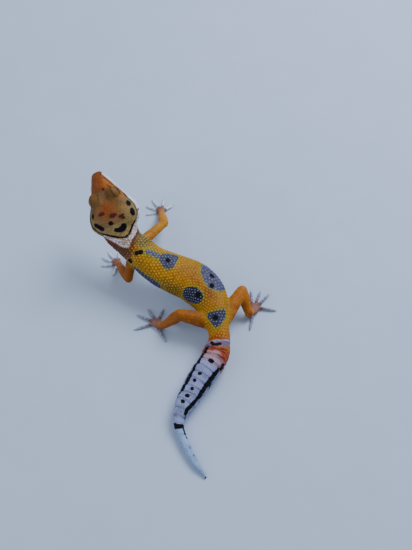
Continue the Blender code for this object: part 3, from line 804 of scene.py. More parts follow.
def thinned(points, faces, most):
    """The same surface with fewer faces, the feet and head kept finest, as triangles."""
    item = loose("thinned", (points, [f.tolist() for f in faces]))
    group = item.vertex_groups.new(name="plain")
    plain = np.clip(1.0 - limb * ease(along_leg, 1.8, 2.4) - 0.9 * skull, 0.05, 1.0)
    for level in range(1, 11):
        chosen = np.nonzero(np.round(plain * 10).astype(int) == level)[0]
        group.add(chosen.tolist(), level / 10, "REPLACE")
    split = item.modifiers.new("split", "TRIANGULATE")
    change = item.modifiers.new("thin", "DECIMATE")
    change.ratio = most / sum(len(f) - 2 for f in faces)
    change.vertex_group = "plain"
    with bpy.context.temp_override(object=item, active_object=item):
        bpy.ops.object.modifier_apply(modifier=split.name)
        bpy.ops.object.modifier_apply(modifier=change.name)
    found, corners = point_places(item.data), corner_numbers(item.data)
    bpy.data.objects.remove(item)
    return found, corners.reshape(-1, 3)


SKIN_MOST = 190000
points, faces = thinned(points, faces, SKIN_MOST)

# Markings of the hide, painted by the place of each point on the body: golden back, lavender patches with a
# green edge, black spots and side stripes, rust and olive on the head, white lips and collar, pale tail. With
# them goes painted shade: dark folds, creases, the mouth's seam, ear and nostril hollows, the grooves between
# the tail's rings, the left legs and part of the deeper orange down the back.
# Places are along the body behind the nape and around it from the middle of the back, in millimetres.
GOLD = "#B47A02"
GOLD_DEEP = "#A85E05"
GOLD_PALE = "#B08A10"
MUSTARD = "#6E561A"
BELLY = "#DDD0CC"
NECK_BROWN = "#643E1C"
NECK_OLIVE = "#6F5F2B"
NECK_RUST = "#6E2A10"
COLLAR = "#D2AC90"
COLLAR_EDGE = "#ECE6EC"
CREAM = "#8C6E42"
CREAM_PALE = "#A68850"
BROW = "#7A5420"
CROWN = "#A8520F"
SNOUT = "#984E18"
SNOUT_BRIGHT = "#B86008"
CHEEK = "#A8641C"
LID = "#A0682A"
FOLD_SHADE = "#3A2612"
RUST_SPOT_AND_CREASE_SHADE = "#5A1E0E"
LIP = "#F4F6FA"
THROAT = "#E6E6E8"
LIMB = "#C06E14"
LIMB_GOLD = "#C88212"
LIMB_PALE = "#CC842C"
LIMB_RUST = "#8A4216"
FOOT = "#94665A"
TOE = "#A8ACBC"
HAND_TOE = "#EEF1F6"
TOE_JOINT = "#4E4450"
ROOT_ORANGE = "#A84E08"
ROOT_RED = "#AE4820"
ROOT_BAND = "#7C6478"
ROOT_PINK = "#B88E90"
LAVENDER = "#989CC2"
LAVENDER_PALE = "#A9B0D4"
TIP_PALE = "#A2BCE0"
SLATE = "#1A1C34"
SLATE_PALE = "#56526E"
PATCH_EDGE = "#86801F"
INK = "#07060A"
LIMB_SHADE = "#A0580F"
RING_SHADE = "#6E6C8C"
HOLLOW_SHADE = "#1C100C"

# Round and oval black spots: along, around, half length, half width, turn in degrees
INK_SPOTS = (
    (-5.9, 6.4, 0.92, 0.82, 0), (-3.0, 6.25, 1.2, 0.84, -8), (-6.3, -4.2, 0.85, 0.45, 0),
    (-2.35, -0.2, 0.62, 0.64, 0), (9.5, -6.3, 1.05, 1.1, 0), (19.0, 0.7, 0.8, 0.72, 0),
    (32.2, 3.6, 0.74, 0.66, 0), (34.6, 1.4, 0.74, 0.72, 0), (34.4, -3.4, 0.94, 0.9, 0),
    (44.1, -0.7, 0.8, 0.84, 0), (58.6, 0.35, 0.68, 0.9, 0), (63.5, -0.15, 0.62, 0.64, 0),
    (66.0, -0.35, 0.52, 0.56, 0), (68.4, 0.2, 0.56, 0.5, 0), (70.8, 0.0, 0.5, 0.72, 0),
    (72.7, -0.4, 0.52, 0.7, 0), (64.7, 5.6, 0.6, 0.52, 0), (58.0, 4.5, 0.95, 0.85, 0),
    (64.0, 4.9, 0.9, 0.5, 0),
)
# Black lines: half width, then places along and around
INK_LINES = (
    (0.36, ((-8.8, 7.3), (-7.6, 8.3), (-6.3, 9.0), (-5.1, 9.2), (-4.0, 9.1), (-2.7, 9.0), (-1.4, 8.6))),
    (0.28, (
        (-1.4, 8.6), (-0.7, 7.4), (-0.1, 6.2), (0.8, 5.0), (1.8, 3.7), (2.7, 2.3), (3.0, 0.9),
        (2.2, -0.2),
    )),
    (0.25, ((2.2, -0.2), (1.4, -1.2), (0.5, -2.5), (-0.4, -3.9), (-1.4, -4.9), (-2.3, -5.3))),
    (0.34, ((-2.3, -5.3), (-3.3, -5.9), (-4.4, -6.2), (-6.4, -6.2), (-8.2, -6.0))),
    (0.66, ((-3.6, -4.2), (-2.8, -3.6), (-1.8, -2.9))),
    (0.74, ((9.6, -2.4), (10.5, -1.5))),
    (0.6, ((0.1, 0.3), (0.55, 1.0), (0.7, 1.6))),
    (0.82, ((0.5, 1.5), (0.3, 2.1), (-0.1, 2.5))),
    (0.52, ((52.5, -2.0), (53.2, -1.2), (53.0, -0.4), (52.4, 0.6))),
    (0.64, (
        (54.6, -2.8), (57.2, -3.15), (59.0, -3.3), (60.7, -2.95), (62.0, -3.1), (63.7, -2.6),
        (65.0, -2.7),
    )),
    (0.74, ((65.0, -2.7), (66.7, -2.4), (67.9, -2.6), (69.2, -2.45))),
    (0.6, ((69.2, -2.45), (70.1, -2.8), (71.0, -3.3))),
    (0.34, ((71.9, -3.7), (73.4, -3.5))),
    (0.72, ((59.4, 3.7), (61.0, 3.7))),
    (0.92, ((61.0, 3.7), (62.1, 3.8), (63.6, 3.7), (65.6, 3.5), (67.3, 3.5), (69.0, 3.4))),
    (0.66, ((69.0, 3.4), (71.0, 2.9), (72.7, 2.4), (73.8, 2.0), (75.2, 1.9))),
    (0.28, ((76.2, 2.4), (77.0, 2.5))),
    (0.7, ((79.3, -2.6), (79.4, -1.3), (79.8, -0.1), (79.9, 1.8), (79.7, 3.0))),
    (0.5, ((80.2, 1.5), (81.3, 1.3), (82.3, 1.2))),
    (0.24, ((83.2, 1.1), (83.9, 1.1))),
    (0.2, ((84.1, -2.2), (85.7, -2.2))),
    (0.16, ((86.6, 0.6), (87.2, 0.6))),
    (0.16, ((89.2, 0.6), (89.8, 0.5))),
    (0.22, ((96.3, -2.0), (96.4, 0.0), (96.3, 2.0))),
)
# Lavender patches: darkness, rounding, sharpness of the edge, and corners along and around
PATCHES = (
    (0.1, 0.0, 0.5, (
        (10.7, -0.35), (12.5, 0.85), (15.3, 1.7), (16.4, 0.8), (15.5, -0.3), (13.6, -0.3), (11.6, -0.85),
    )),
    (0.5, 1.0, 1.0, (
        (15.6, 0.8), (17.2, 2.5), (19.3, 3.3), (21.6, 3.8), (21.9, 1.5), (21.7, -0.6), (20.6, -1.9),
        (18.2, -1.3), (16.3, -0.4),
    )),
    (0.12, 1.0, 1.0, (
        (28.5, 3.8), (29.1, 6.6), (30.8, 8.2), (33.8, 8.4), (36.2, 6.4), (36.9, 4.4), (36.7, 2.1),
        (35.0, 0.3), (31.9, 0.6), (29.6, 1.8),
    )),
    (0.55, 0.7, 1.0, (
        (10.9, -8.2), (13.1, -7.2), (15.1, -7.6), (17.2, -7.4), (19.5, -7.4), (21.0, -9.2), (19.5, -11.2),
        (17.1, -10.8), (14.3, -10.2), (12.1, -9.6),
    )),
    (0.95, 1.0, 1.0, (
        (28.2, -7.2), (28.0, -5.5), (29.9, -4.0), (32.1, -2.9), (34.7, -2.4), (36.6, -2.6), (37.3, -3.8),
        (36.3, -5.5), (32.8, -7.8), (30.1, -8.2),
    )),
    (0.65, 0.8, 1.0, (
        (42.5, -3.5), (42.5, -1.5), (42.5, 0.2), (42.2, 3.2), (43.9, 2.5), (46.0, 0.7), (47.0, -0.9),
        (45.0, -2.2),
    )),
)
COLLAR_CORNERS = (
    (-1.9, 10.4), (-0.9, 8.6), (0.1, 6.9), (1.3, 5.2), (2.4, 3.7), (3.2, 2.4), (3.5, 1.0), (2.8, -0.3),
    (1.9, -1.4), (0.9, -2.7), (0.1, -4.0), (0.5, -4.7), (1.2, -3.7), (1.9, -2.8), (2.9, -2.4),
    (4.4, -2.3), (5.7, -2.2), (6.3, -1.6), (5.5, 0.3), (4.5, 3.0), (3.3, 5.9), (1.5, 8.8), (-0.3, 10.6),
)
NAPE_CORNERS = (
    (-3.0, 8.4), (-0.7, 7.4), (0.8, 5.0), (1.8, 3.7), (2.7, 2.3), (3.0, 0.9), (2.2, -0.2), (0.5, -2.5),
    (-1.5, -4.6), (-3.0, -5.0),
)
RUST_SPOTS = (
    (-5.9, -1.45, 0.55, 0.8, 0), (-4.25, 1.15, 0.68, 1.0, 0), (-3.1, 2.75, 0.45, 0.4, 0),
    (-2.55, 3.3, 0.5, 0.36, 0), (-3.3, 3.35, 0.36, 0.46, 0), (-12.7, 1.1, 0.36, 0.36, 0),
)
# Painted shade in the creases at the root of the tail: half width, then places along and around
ROOT_CREASES = (
    (0.1, ((54.1, -1.8), (54.6, -0.2), (54.3, 1.6), (54.5, 2.8))),
    (0.07, ((55.9, 0.9), (56.2, 2.2), (55.8, 3.6))),
    (0.07, ((53.7, 1.4), (53.6, 3.0), (53.9, 4.4))),
)


def oval_distance(along, around, spot):
    """Distance outside an oval, negative inside it."""
    place_along, place_around, half_length, half_width, turn = spot
    x, y = along - place_along, around - place_around
    c, s = math.cos(math.radians(turn)), math.sin(math.radians(turn))
    x, y = x * c + y * s, y * c - x * s
    return (np.hypot(x / half_length, y / half_width) - 1.0) * min(half_length, half_width)


def patch_distance(along, around, corners, rounding=0.0):
    """Distance outside a patch with these corners, negative inside it."""
    corners = np.array(corners, float)
    middle = corners.mean(0)
    corners = middle + (corners - middle) * (1.0 - rounding / np.linalg.norm(corners - middle, axis=1).mean())
    edge = line_distance(along, around, 0.0, (*corners, corners[0]))
    inside = np.zeros(len(along), bool)
    for (a0, b0), (a1, b1) in zip(corners, (*corners[1:], corners[0])):
        crosses = (b0 > around) != (b1 > around)
        with np.errstate(divide="ignore", invalid="ignore"):
            at = a0 + (around - b0) * (a1 - a0) / (b1 - b0)
        inside ^= crosses & (along < at)
    return np.where(inside, -edge, edge) - rounding


def markings(points):
    """Ground colour, distances from ink and from patches, darkness of the nearest patch, distance from rust
    spots and from the painted shade of dark folds, creases and the mouth's seam, and where the collar is
    speckled."""
    along, around, angle, out = chart(points)
    back, side, height = in_head(points)
    limb, along_leg, along_toe, left = limb_share(points)
    skull = (1.0 - ease(along, -1.0, 0.5)) * near_head(points)
    swell = unevenness(points, 2.4, 11)
    ground = np.tile(np.array(linear(GOLD)[:3]), (len(points), 1))

    def paint(code, share):
        nonlocal ground
        share = np.clip(share, 0.0, 1.0)[:, None]
        ground = ground * (1.0 - share) + np.array(linear(code)[:3]) * share

    paint(GOLD_DEEP, 0.2 * ease(along, 24.0, 30.0))
    # deeper orange down the middle of the back: partly the hide's own colour and partly painted shade of the
    # bent back
    paint(GOLD_DEEP, 0.7 * hill(along, 28.5, 6.5) * hill(around, -0.6, 2.6))
    paint(GOLD_DEEP, 0.45 * hill(along, 20.0, 5.0) * hill(around, -3.4, 2.4) * (0.5 + swell))
    # rust-brown towards the hips: partly the hide's own colour and partly painted shade of the bent back
    paint(LIMB_RUST, 0.75 * hill(along, 36.5, 3.6) * hill(around, -0.6, 2.0))
    paint(GOLD_PALE, 0.55 * ease(np.abs(around), 4.5, 7.5) * ease(along, 10.0,
        16.0) * (1.0 - ease(along, 44.0, 48.0)))
    paint(MUSTARD, 0.85 * hill(along, 23.5, 6.0) * ease(-around, 3.5, 7.0))
    paint(MUSTARD, 0.5 * hill(along, 8.0, 3.5) * ease(around, 0.5, 3.5))
    paint(NECK_BROWN, (1.0 - ease(along, 7.0, 11.0)) * ease(-around, 0.0, 2.5))
    paint(NECK_OLIVE, (1.0 - ease(along, 9.0, 13.0)) * ease(around, -1.5,
        1.0) * (1.0 - 0.7 * ease(around, 5.0, 8.0)))
    stripe = hill(around, 0.1 + (6.4 - along) * 1.95, 1.7)
    paint(NECK_RUST, 0.95 * (1.0 - ease(along, 6.5, 9.0)) * stripe * ease(along, 1.0, 2.0))
    paint(NECK_RUST, 0.9 * hill(along, 2.7, 1.8) * hill(around, -3.9, 1.2))
    belly_edge = 108.0 + 26.0 * hill(along, 8.0, 6.0)
    paint(BELLY, ease(np.abs(np.degrees(angle)), belly_edge, belly_edge + 18.0))
    tail = ease(along, 47.0, 50.5)
    paint(ROOT_ORANGE, tail * (1.0 - ease(along, 52.0, 54.0)))
    paint(ROOT_RED, ease(along, 53.0, 54.0) * (1.0 - ease(along, 57.0, 59.5)))
    edge = 54.3 + 0.55 * np.abs(around) + 0.7 * swell
    paint(ROOT_PINK, 0.85 * ease(along, edge, edge + 0.9))
    paint(ROOT_RED, 0.8 * ease(along, 53.5,
        54.5) * (1.0 - ease(along, 57.5, 60.0)) * ease(around + 1.6 * swell, 2.4, 3.6))
    paint(LAVENDER, ease(along, 56.5, 60.5) * (1.0 - 0.6 * ease(around, 2.5,
        4.5) * (1.0 - ease(along, 58.0, 60.0))))
    paint(LAVENDER_PALE, ease(along, 62.0, 76.0) * (0.55 + 0.3 * swell))
    paint(TIP_PALE, ease(along, 79.6, 81.0))
    count = ring_count(along)
    between_rings = hill((count - np.round(count)) * TAIL_RING_WIDTH, 0.0, 0.24)
    # painted shade: the grooves between the tail's rings darkened
    paint(RING_SHADE, 0.55 * between_rings * ease(along, 54.0, 57.0) * (1.0 - 0.7 * ease(along, 77.0, 82.0)))
    band = np.abs(along - (52.55 - 0.33 * around)) - (1.0 - 0.06 * np.abs(around))
    paint(TIP_PALE, 0.75 * hill(band, 0.28, 0.22) * (along < 52.6 - 0.33 * around) * (along > 47.0))
    paint(ROOT_BAND, ease(-band, -0.12, 0.12))

    paint(CREAM, skull)
    paint(CREAM_PALE, skull * 0.8 * ease(np.abs(side), 3.2, 5.0) * ease(back, 10.5, 13.0))
    paint(CROWN, skull * hill(back, 12.0, 3.5) * hill(side, 0.5, 3.9) * ease(height, 1.5, 3.2))
    paint(BROW, skull * 0.92 * hill(back, 8.2, 2.3) * ease(np.abs(side), 0.6, 1.7) * ease(height, 1.6, 2.8))
    paint(BROW, skull * 0.55 * hill(back, 11.5, 2.2) * ease(np.abs(side), 2.8, 4.2) * ease(height, 1.8, 3.0))
    for eye_side in (1, -1):
        reach, facing = round_eye(points, eye_side)
        near = 1.0 - ease(reach, EYE_RADIUS + 0.6, EYE_RADIUS + 1.0)
        paint(LID, (0.3 if eye_side > 0 else 0.9) * near * ease(facing, 0.42, 0.62))
        # painted shade: a dark line in the crease of the upper lid
        paint(FOLD_SHADE, 0.8 * near * hill(facing, 0.40, 0.07) * ease(height, EYE_HEIGHT, EYE_HEIGHT + 0.5))
    paint(SNOUT, skull * (1.0 - ease(back, 5.2, 7.2)))
    paint(SNOUT_BRIGHT, skull * 0.85 * hill(back, 4.0, 1.5) * hill(side, 2.3, 1.1))
    paint(CHEEK, skull * (1.0 - ease(height, 2.3, 2.9)) * ease(back, 4.0,
        5.5) * (1.0 - ease(back, 9.5, 11.5)))
    lip_top = head_sizes(back)[3] + 0.90 + 0.28 * ease(back, 8.0, 11.0) + 0.2 * ease(back, 16.0, 18.0)
    paint(LIP, skull * ease(-height, -lip_top - 0.12, -lip_top + 0.12) * ease(back, 0.6, 1.6))
    # painted shade: a dark line in the step between the lip plates and the snout
    over_lip_shade = hill(height - lip_top, 0.24, 0.14 + 0.16 * ease(back, 8.0, 10.0))
    paint(FOLD_SHADE, skull * over_lip_shade * (0.5 + 0.45 * ease(back, 8.0, 10.0)) * ease(back, 1.4, 2.4))
    nape = patch_distance(along, around, NAPE_CORNERS)
    paint(CREAM_PALE, ease(-nape, -0.1, 0.3) * ease(along, -2.0, -1.0))
    paint(THROAT, skull * ease(-height, 0.9, 1.6))
    paint(THROAT, (1.0 - skull) * (1.0 - ease(along, 3.0, 7.0)) * ease(np.abs(angle), np.radians(112.0),
        np.radians(130.0)))
    collar = patch_distance(along, around, COLLAR_CORNERS)
    paint(COLLAR, ease(-collar, -0.22, 0.12))
    paint(COLLAR_EDGE, 0.85 * hill(collar, -0.40, 0.30))
    # painted shade: the ear openings and nostrils darkened inside
    for side_of in (1, -1):
        for place, size in ((EAR, EAR_SIZE), (NOSTRIL, NOSTRIL_SIZE)):
            gap = (points - on_head(place[0], side_of * place[1], place[2])) @ HEAD.T
            paint(HOLLOW_SHADE, skull * ease(-np.linalg.norm(gap / size, axis=1), -1.0, -0.75))

    paint(LIMB, limb)
    # painted shade: the left legs darker, as on the side away from the lamp
    paint(LIMB_SHADE, limb * left * 0.8)
    paint(LIMB_GOLD, limb * (1.0 - left) * ease(points[:, 1], 10.0, 14.0))
    paint(LIMB_PALE, limb * ease(along_leg, 1.5, 2.3) * 0.5)
    paint(LIMB_RUST, limb * 0.7 * hill(along_leg, 2.1, 0.22) * (0.6 + swell))
    paint(LIMB_RUST, limb * 0.45 * hill(along_leg, 0.35, 0.3) * (0.5 + swell))
    paint(FOOT, limb * ease(along_leg, 2.3, 2.95))
    hand = ease(points[:, 1], 12.0, 13.0)
    paint(TOE, limb * ease(along_toe, 0.12, 0.45))
    paint(HAND_TOE, limb * hand * ease(along_toe, 0.06, 0.30))
    joints = hill(along_toe, 0.10, 0.05) + hill(along_toe, 0.36, 0.04) + hill(along_toe, 0.62, 0.04)
    paint(TOE_JOINT, limb * (0.6 - 0.45 * hand) * joints * (along_toe > 0.0))

    ink = np.full(len(points), 9.0)
    for spot in INK_SPOTS:
        ink = np.minimum(ink, oval_distance(along, around, spot))
    for half_width, places in INK_LINES:
        ink = np.minimum(ink, line_distance(along, around, half_width, places))
    ink = np.where(limb > 0.3, 9.0, ink)
    ink = np.where((skull > 0.5) & (height < lip_top), 9.0, ink)
    patch = np.full(len(points), 9.0)
    dark = np.zeros(len(points))
    for darkness, rounding, sharpness, corners in PATCHES:
        here = patch_distance(along, around, corners, rounding) * sharpness
        dark = np.where(here < patch, darkness, dark)
        patch = np.minimum(patch, here)
    patch = np.where(limb > 0.5, 9.0, patch)
    # Rust-red spots on the head, and painted shade in the creases at the tail's root, the mouth's seam and
    # the snout's fold
    rust = np.full(len(points), 9.0)
    for half_width, places in ROOT_CREASES:
        rust = np.minimum(rust, line_distance(along, around, half_width, places))
    for spot in RUST_SPOTS:
        rust = np.minimum(rust, oval_distance(along, around, spot))
    seam = np.abs(height - mouth_line(back)) - 0.05
    rust = np.where((skull > 0.5) & (back < MOUTH_END) & (back > 0.3), np.minimum(rust, seam), rust)
    fold = line_distance(back, np.abs(side), 0.05, ((5.1, 2.4), (6.3, 3.7)))
    rust = np.where((skull > 0.5) & (height > 0.8), np.minimum(rust, fold), rust)
    speckle = ease(-collar, -0.3, 0.2)
    return ground, np.minimum(ink, 3.0), np.minimum(patch, 3.0), dark, np.minimum(rust, 3.0), speckle


def keep(item, name, values):
    """Store one number or one colour for each point of a mesh."""
    if values.ndim == 2:
        made = item.data.attributes.new(name, "FLOAT_COLOR", "POINT")
        opaque = np.hstack([values, np.ones((len(values), 1))])
        made.data.foreach_set("color", opaque.astype(np.float32).ravel())
    else:
        made = item.data.attributes.new(name, "FLOAT", "POINT")
        made.data.foreach_set("value", values.astype(np.float32))


# Dry reptile hide, grown as keratin over soft skin: matt, with a faint gloss on the tops of its bead-like
# scales and painted shade darkening the grooves between them. The beads are 0.3 mm across, and the pigment
# lies under them.
BEAD = 0.30
SMOOTH = {"interpolation_type": "SMOOTHSTEP"}
MARKS = ("ground", "ink", "patch", "dark", "rust", "speckle")
hide, tree, shader = new_material("gecko_hide")
place = add(tree, "ShaderNodeTexCoord").outputs["Object"]
ragged = add(tree, "ShaderNodeTexNoise", {"Vector": place, "Scale": 1.0 / (0.8 * MM), "Detail": 2.0})
cloud = add(tree, "ShaderNodeTexNoise", {"Vector": place, "Scale": 1.0 / (2.4 * MM), "Detail": 3.0})
fleck = add(tree, "ShaderNodeTexNoise", {"Vector": place, "Scale": 1.0 / (0.45 * MM), "Detail": 1.0})
beads = add(tree, "ShaderNodeTexVoronoi", {"Vector": place, "Scale": 1.0 / (BEAD * MM)}, feature="F1")
bead_edge = add(tree, "ShaderNodeMapRange", {"Value": beads, "From Min": 0.25, "From Max": 0.75}, **SMOOTH)
wander = {"Value": ragged, "From Min": 0.3, "From Max": 0.7, "To Min": -0.14, "To Max": 0.14}
wander = add(tree, "ShaderNodeMapRange", wander, **SMOOTH)
stored = {name: add(tree, "ShaderNodeAttribute", attribute_name=name) for name in MARKS}


def marked(colour, name, waver, outside, inside, with_colour):
    """The hide with one kind of mark laid over it, its edge wavering by a share of the noise."""
    edge = {0: wander, 1: waver, 2: stored[name].outputs["Fac"]}
    edge = add(tree, "ShaderNodeMath", edge, operation="MULTIPLY_ADD")
    edge = {"Value": edge, "From Min": outside, "From Max": inside}
    share = add(tree, "ShaderNodeMapRange", edge, **SMOOTH)
    return add(tree, "ShaderNodeMixRGB", {"Fac": share, "Color1": colour, "Color2": with_colour}), share


patch_tone = {"Fac": stored["dark"].outputs["Fac"], "Color1": linear(SLATE_PALE), "Color2": linear(SLATE)}
patch_tone = add(tree, "ShaderNodeMixRGB", patch_tone)
tone, share = marked(stored["ground"], "patch", 1.0, 0.80, 0.14, linear(PATCH_EDGE))
tone, share = marked(tone, "patch", 1.0, 0.10, -0.08, patch_tone)
# rust-red spots, with painted shade in the creases, folds and the mouth's seam
tone, share = marked(tone, "rust", 0.45, 0.26, -0.16, linear(RUST_SPOT_AND_CREASE_SHADE))
fleck = {"Value": fleck, "From Min": 0.50, "From Max": 0.60, "To Max": 0.70}
fleck = add(tree, "ShaderNodeMapRange", fleck, **SMOOTH)
fleck = add(tree, "ShaderNodeMath", {0: fleck, 1: stored["speckle"].outputs["Fac"]}, operation="MULTIPLY")
tone = add(tree, "ShaderNodeMixRGB", {"Fac": fleck, "Color1": tone, "Color2": linear(NECK_RUST)})
cloud = {"Value": cloud, "From Min": 0.3, "From Max": 0.7, "To Min": 0.84, "To Max": 1.14}
cloud = add(tree, "ShaderNodeMapRange", cloud, **SMOOTH)
# painted shade: the grooves between the beads darkened, over a random mottle of the hide's own tone
groove_shade = add(tree, "ShaderNodeMath", {0: bead_edge, 1: -0.32, 2: 1.0}, operation="MULTIPLY_ADD")
mottle_and_groove_shade = add(tree, "ShaderNodeMath", {0: cloud, 1: groove_shade}, operation="MULTIPLY")
tone = add(tree, "ShaderNodeHueSaturation", {"Color": tone, "Value": mottle_and_groove_shade})
tone, black = marked(tone, "ink", 0.6, 0.08, -0.06, linear(INK))
tree.links.new(tone.outputs["Color"], shader.inputs["Base Color"])
matt = add(tree, "ShaderNodeMapRange", {"Value": bead_edge, "To Min": 0.46, "To Max": 0.68}, **SMOOTH)
matt = add(tree, "ShaderNodeMath", {0: black, 1: 0.28, 2: matt}, operation="MULTIPLY_ADD")
tree.links.new(matt.outputs["Value"], shader.inputs["Roughness"])
bump = add(tree, "ShaderNodeBump", {"Height": bead_edge, "Strength": 0.5, "Distance": 0.00004}, invert=True)
tree.links.new(bump.outputs["Normal"], shader.inputs["Normal"])
shader.inputs["IOR"].default_value = 1.45
shader.inputs["Specular IOR Level"].default_value = 0.25
skin = show("skin", points, faces.tolist(), hide)
for name, values in zip(MARKS, markings(points)):
    keep(skin, name, values)
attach(skin, "root")
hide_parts(*[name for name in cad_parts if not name.startswith("eye")])

# Tubercles: round, slightly pointed scales that stand in slanting rows about 1 mm apart on the back, neck,
# rear of the head, root of the tail and outsides of the legs. They are the same horny skin as the rest,
# paler than the ground, and white on the lavender patches.
TUBERCLE_STEP = 1.0
UNWRAP_START = 20.0
UNWRAP_SPAN = 125.0
FLAT_HALF = 0.0014
TUBERCLE_SIDES = 8
TUBERCLE_RINGS = ((1.0, -0.45), (0.86, 0.22), (0.55, 0.74), (0.20, 0.97))
TUBERCLE_GOLD = "#D8A61C"
TUBERCLE_WHITE = "#8C90AE"


def unwrapped(along, around):
    """Place on the unwrapped hide, from 0 to 1 each way."""
    return np.stack([(along + UNWRAP_START) / UNWRAP_SPAN, 0.5 + around / UNWRAP_SPAN], axis=-1)


def body_places(along, around):
    """Places on the smooth body at points of the hide's chart."""
    middle, right, up, tailward, width, depth = spine_at(along)
    angle = around / ((width + depth) / 2)
    full = (np.abs(np.sin(angle)) ** 2.2 + np.abs(np.cos(angle)) ** 2.2) ** (1 / 2.2)
    return (
        middle + right * (width * np.sin(angle) / full)[:, None] + up * (depth * np.cos(angle) / full)[:,
        None], angle, tailward,
    )


def head_places(back, around):
    """Places on the smooth crown at distances behind the tip and around from its middle."""
    width, crown, chin, lift = head_sizes(back)
    origin = lift + (NAPE_RISE - lift) * ease(back, 14.5, HEAD_LENGTH)
    above = crown - (origin - lift)
    angle = around / ((width + above) / 2)
    full = (np.abs(np.sin(angle)) ** 2.4 + np.abs(np.cos(angle)) ** 2.4) ** (1 / 2.4)
    side = width * np.sin(angle) / full
    return on_head(back, side, origin + above * np.cos(angle) / full), angle


def grid(start, end, half, step, seed):
    """Slanting rows of places, each a little off its place."""
    draw = np.random.default_rng(seed)
    rows = np.arange(start, end, step * 0.866)
    spots = [
        (row, k * step + (0.5 * step if i % 2 else 0.0)) for i, row in enumerate(rows)
        for k in range(-int(half / step) - 1, int(half / step) + 2)
    ]
    spots = np.array(spots)
    return spots + draw.normal(0.0, 0.07 * step, spots.shape)


tree_of_skin = BVHTree.FromPolygons(points.tolist(), faces.tolist())


def lay_flat(item, flat):
    """Give each scale its small patch on the unwrapped hide."""
    layer = item.data.uv_layers.new(name="OFBake")
    layer.data.foreach_set("uv", flat[corner_numbers(item.data)].astype(np.float32).ravel())


def on_skin(places, reach=0.7):
    """Nearest places on the skin and its outward directions there, and which are near enough."""
    found = np.zeros((len(places), 3))
    normal = np.zeros((len(places), 3))
    good = np.zeros(len(places), bool)
    for i, place in enumerate(places):
        spot, direction, _, gap = tree_of_skin.find_nearest(Vector(place), reach)
        if spot is not None:
            found[i], normal[i], good[i] = spot, direction, True
    return found, normal, good


def domes(places, normals, leans, radii, heights, unwrap):
    """Points, faces and bake places of many small domes, each leaning a little to one side."""
    first = unit(np.cross(normals, np.where(np.abs(normals[:, 2:]) < 0.9, (0.0, 0.0, 1.0), (1.0, 0.0, 0.0))))
    second = np.cross(normals, first)
    turn = np.linspace(0.0, 2.0 * math.pi, TUBERCLE_SIDES, endpoint=False)
    rings = []
    flat = []
    for share, rise in TUBERCLE_RINGS:
        ring = first[:, None] * np.cos(turn)[:, None] + second[:, None] * np.sin(turn)[:, None]
        ring = ring * (radii * share)[:, None, None] + (normals * (heights * rise)[:, None])[:, None]
        ring = ring + leans[:, None] * (max(rise, 0.0) * radii * 0.25)[:, None, None]
        rings.append(places[:, None] + ring)
        flat.append(unwrap[:, None] + FLAT_HALF * share * np.stack([np.cos(turn), np.sin(turn)], axis=1))
    top = places + normals * heights[:, None] + leans * (radii * 0.25)[:, None]
    count = len(TUBERCLE_RINGS)
    block = count * TUBERCLE_SIDES + 1
    points = np.concatenate([np.stack(rings, axis=1).reshape(len(places), -1, 3), top[:, None]], axis=1)
    flat = np.concatenate([np.stack(flat, axis=1).reshape(len(places), -1, 2), unwrap[:, None]], axis=1)
    i = np.arange(TUBERCLE_SIDES)
    j = (i + 1) % TUBERCLE_SIDES
    last = (count - 1) * TUBERCLE_SIDES
    quads = [
        np.stack([r + i, r + j, r + TUBERCLE_SIDES + j, r + TUBERCLE_SIDES + i], 1)
        for r in range(0, last, TUBERCLE_SIDES)
    ]
    cap = np.stack([last + i, last + j, np.full(TUBERCLE_SIDES, block - 1)], 1)
    start = np.arange(len(places))[:, None, None] * block
    faces = (start + np.concatenate(quads)).reshape(-1, 4).tolist() + (start + cap).reshape(-1, 3).tolist()
    return points.reshape(-1, 3), faces, flat.reshape(-1, 2)


spots = grid(1.2, 62.0, 15.0, TUBERCLE_STEP, 3)
places, turn, lean = body_places(spots[:, 0], spots[:, 1])
kept = (np.abs(turn) < np.radians(112.0)) & ((spots[:, 0] < 50.0) | (np.abs(turn) > 9.0))
spots, places, lean = spots[kept], places[kept], lean[kept]
size = 0.27 - 0.05 * ease(np.abs(spots[:, 1]), 5.0, 9.0) - 0.05 * (1.0 - ease(spots[:, 0], 6.0, 12.0))
head_spots = grid(12.6, HEAD_LENGTH + 0.6, 8.0, 0.9, 4)
head_spots = head_spots[np.random.default_rng(8).random(len(head_spots)) < 0.75]
more, turn = head_places(head_spots[:, 0], head_spots[:, 1])
kept = np.abs(turn) < np.radians(75.0)
head_spots, more = head_spots[kept], more[kept]
chart_places = np.concatenate([spots, head_spots - (HEAD_LENGTH, 0.0)])
places = np.concatenate([places, more])
lean = np.concatenate([lean, np.tile(-HEAD[1], (len(more), 1))])
size = np.concatenate([size, np.full(len(more), 0.15)])
unwrap = unwrapped(chart_places[:, 0], chart_places[:, 1])

rings = TAIL_RINGS_START + TAIL_RING_WIDTH * (np.arange(0, 11) + 0.62)
ring_spots = np.array([(row, k * 1.1 + (0.55 if i % 2 else 0.0)) for i,
    row in enumerate(rings) for k in range(-7, 8)])
more, turn, more_lean = body_places(ring_spots[:, 0], ring_spots[:, 1])
kept = np.abs(turn) < np.radians(105.0)
places = np.concatenate([places, more[kept]])
lean = np.concatenate([lean, more_lean[kept]])
size = np.concatenate([size, 0.21 - 0.005 * (ring_spots[kept, 0] - 54.0)])
unwrap = np.concatenate([unwrap, unwrapped(ring_spots[kept, 0], ring_spots[kept, 1])])

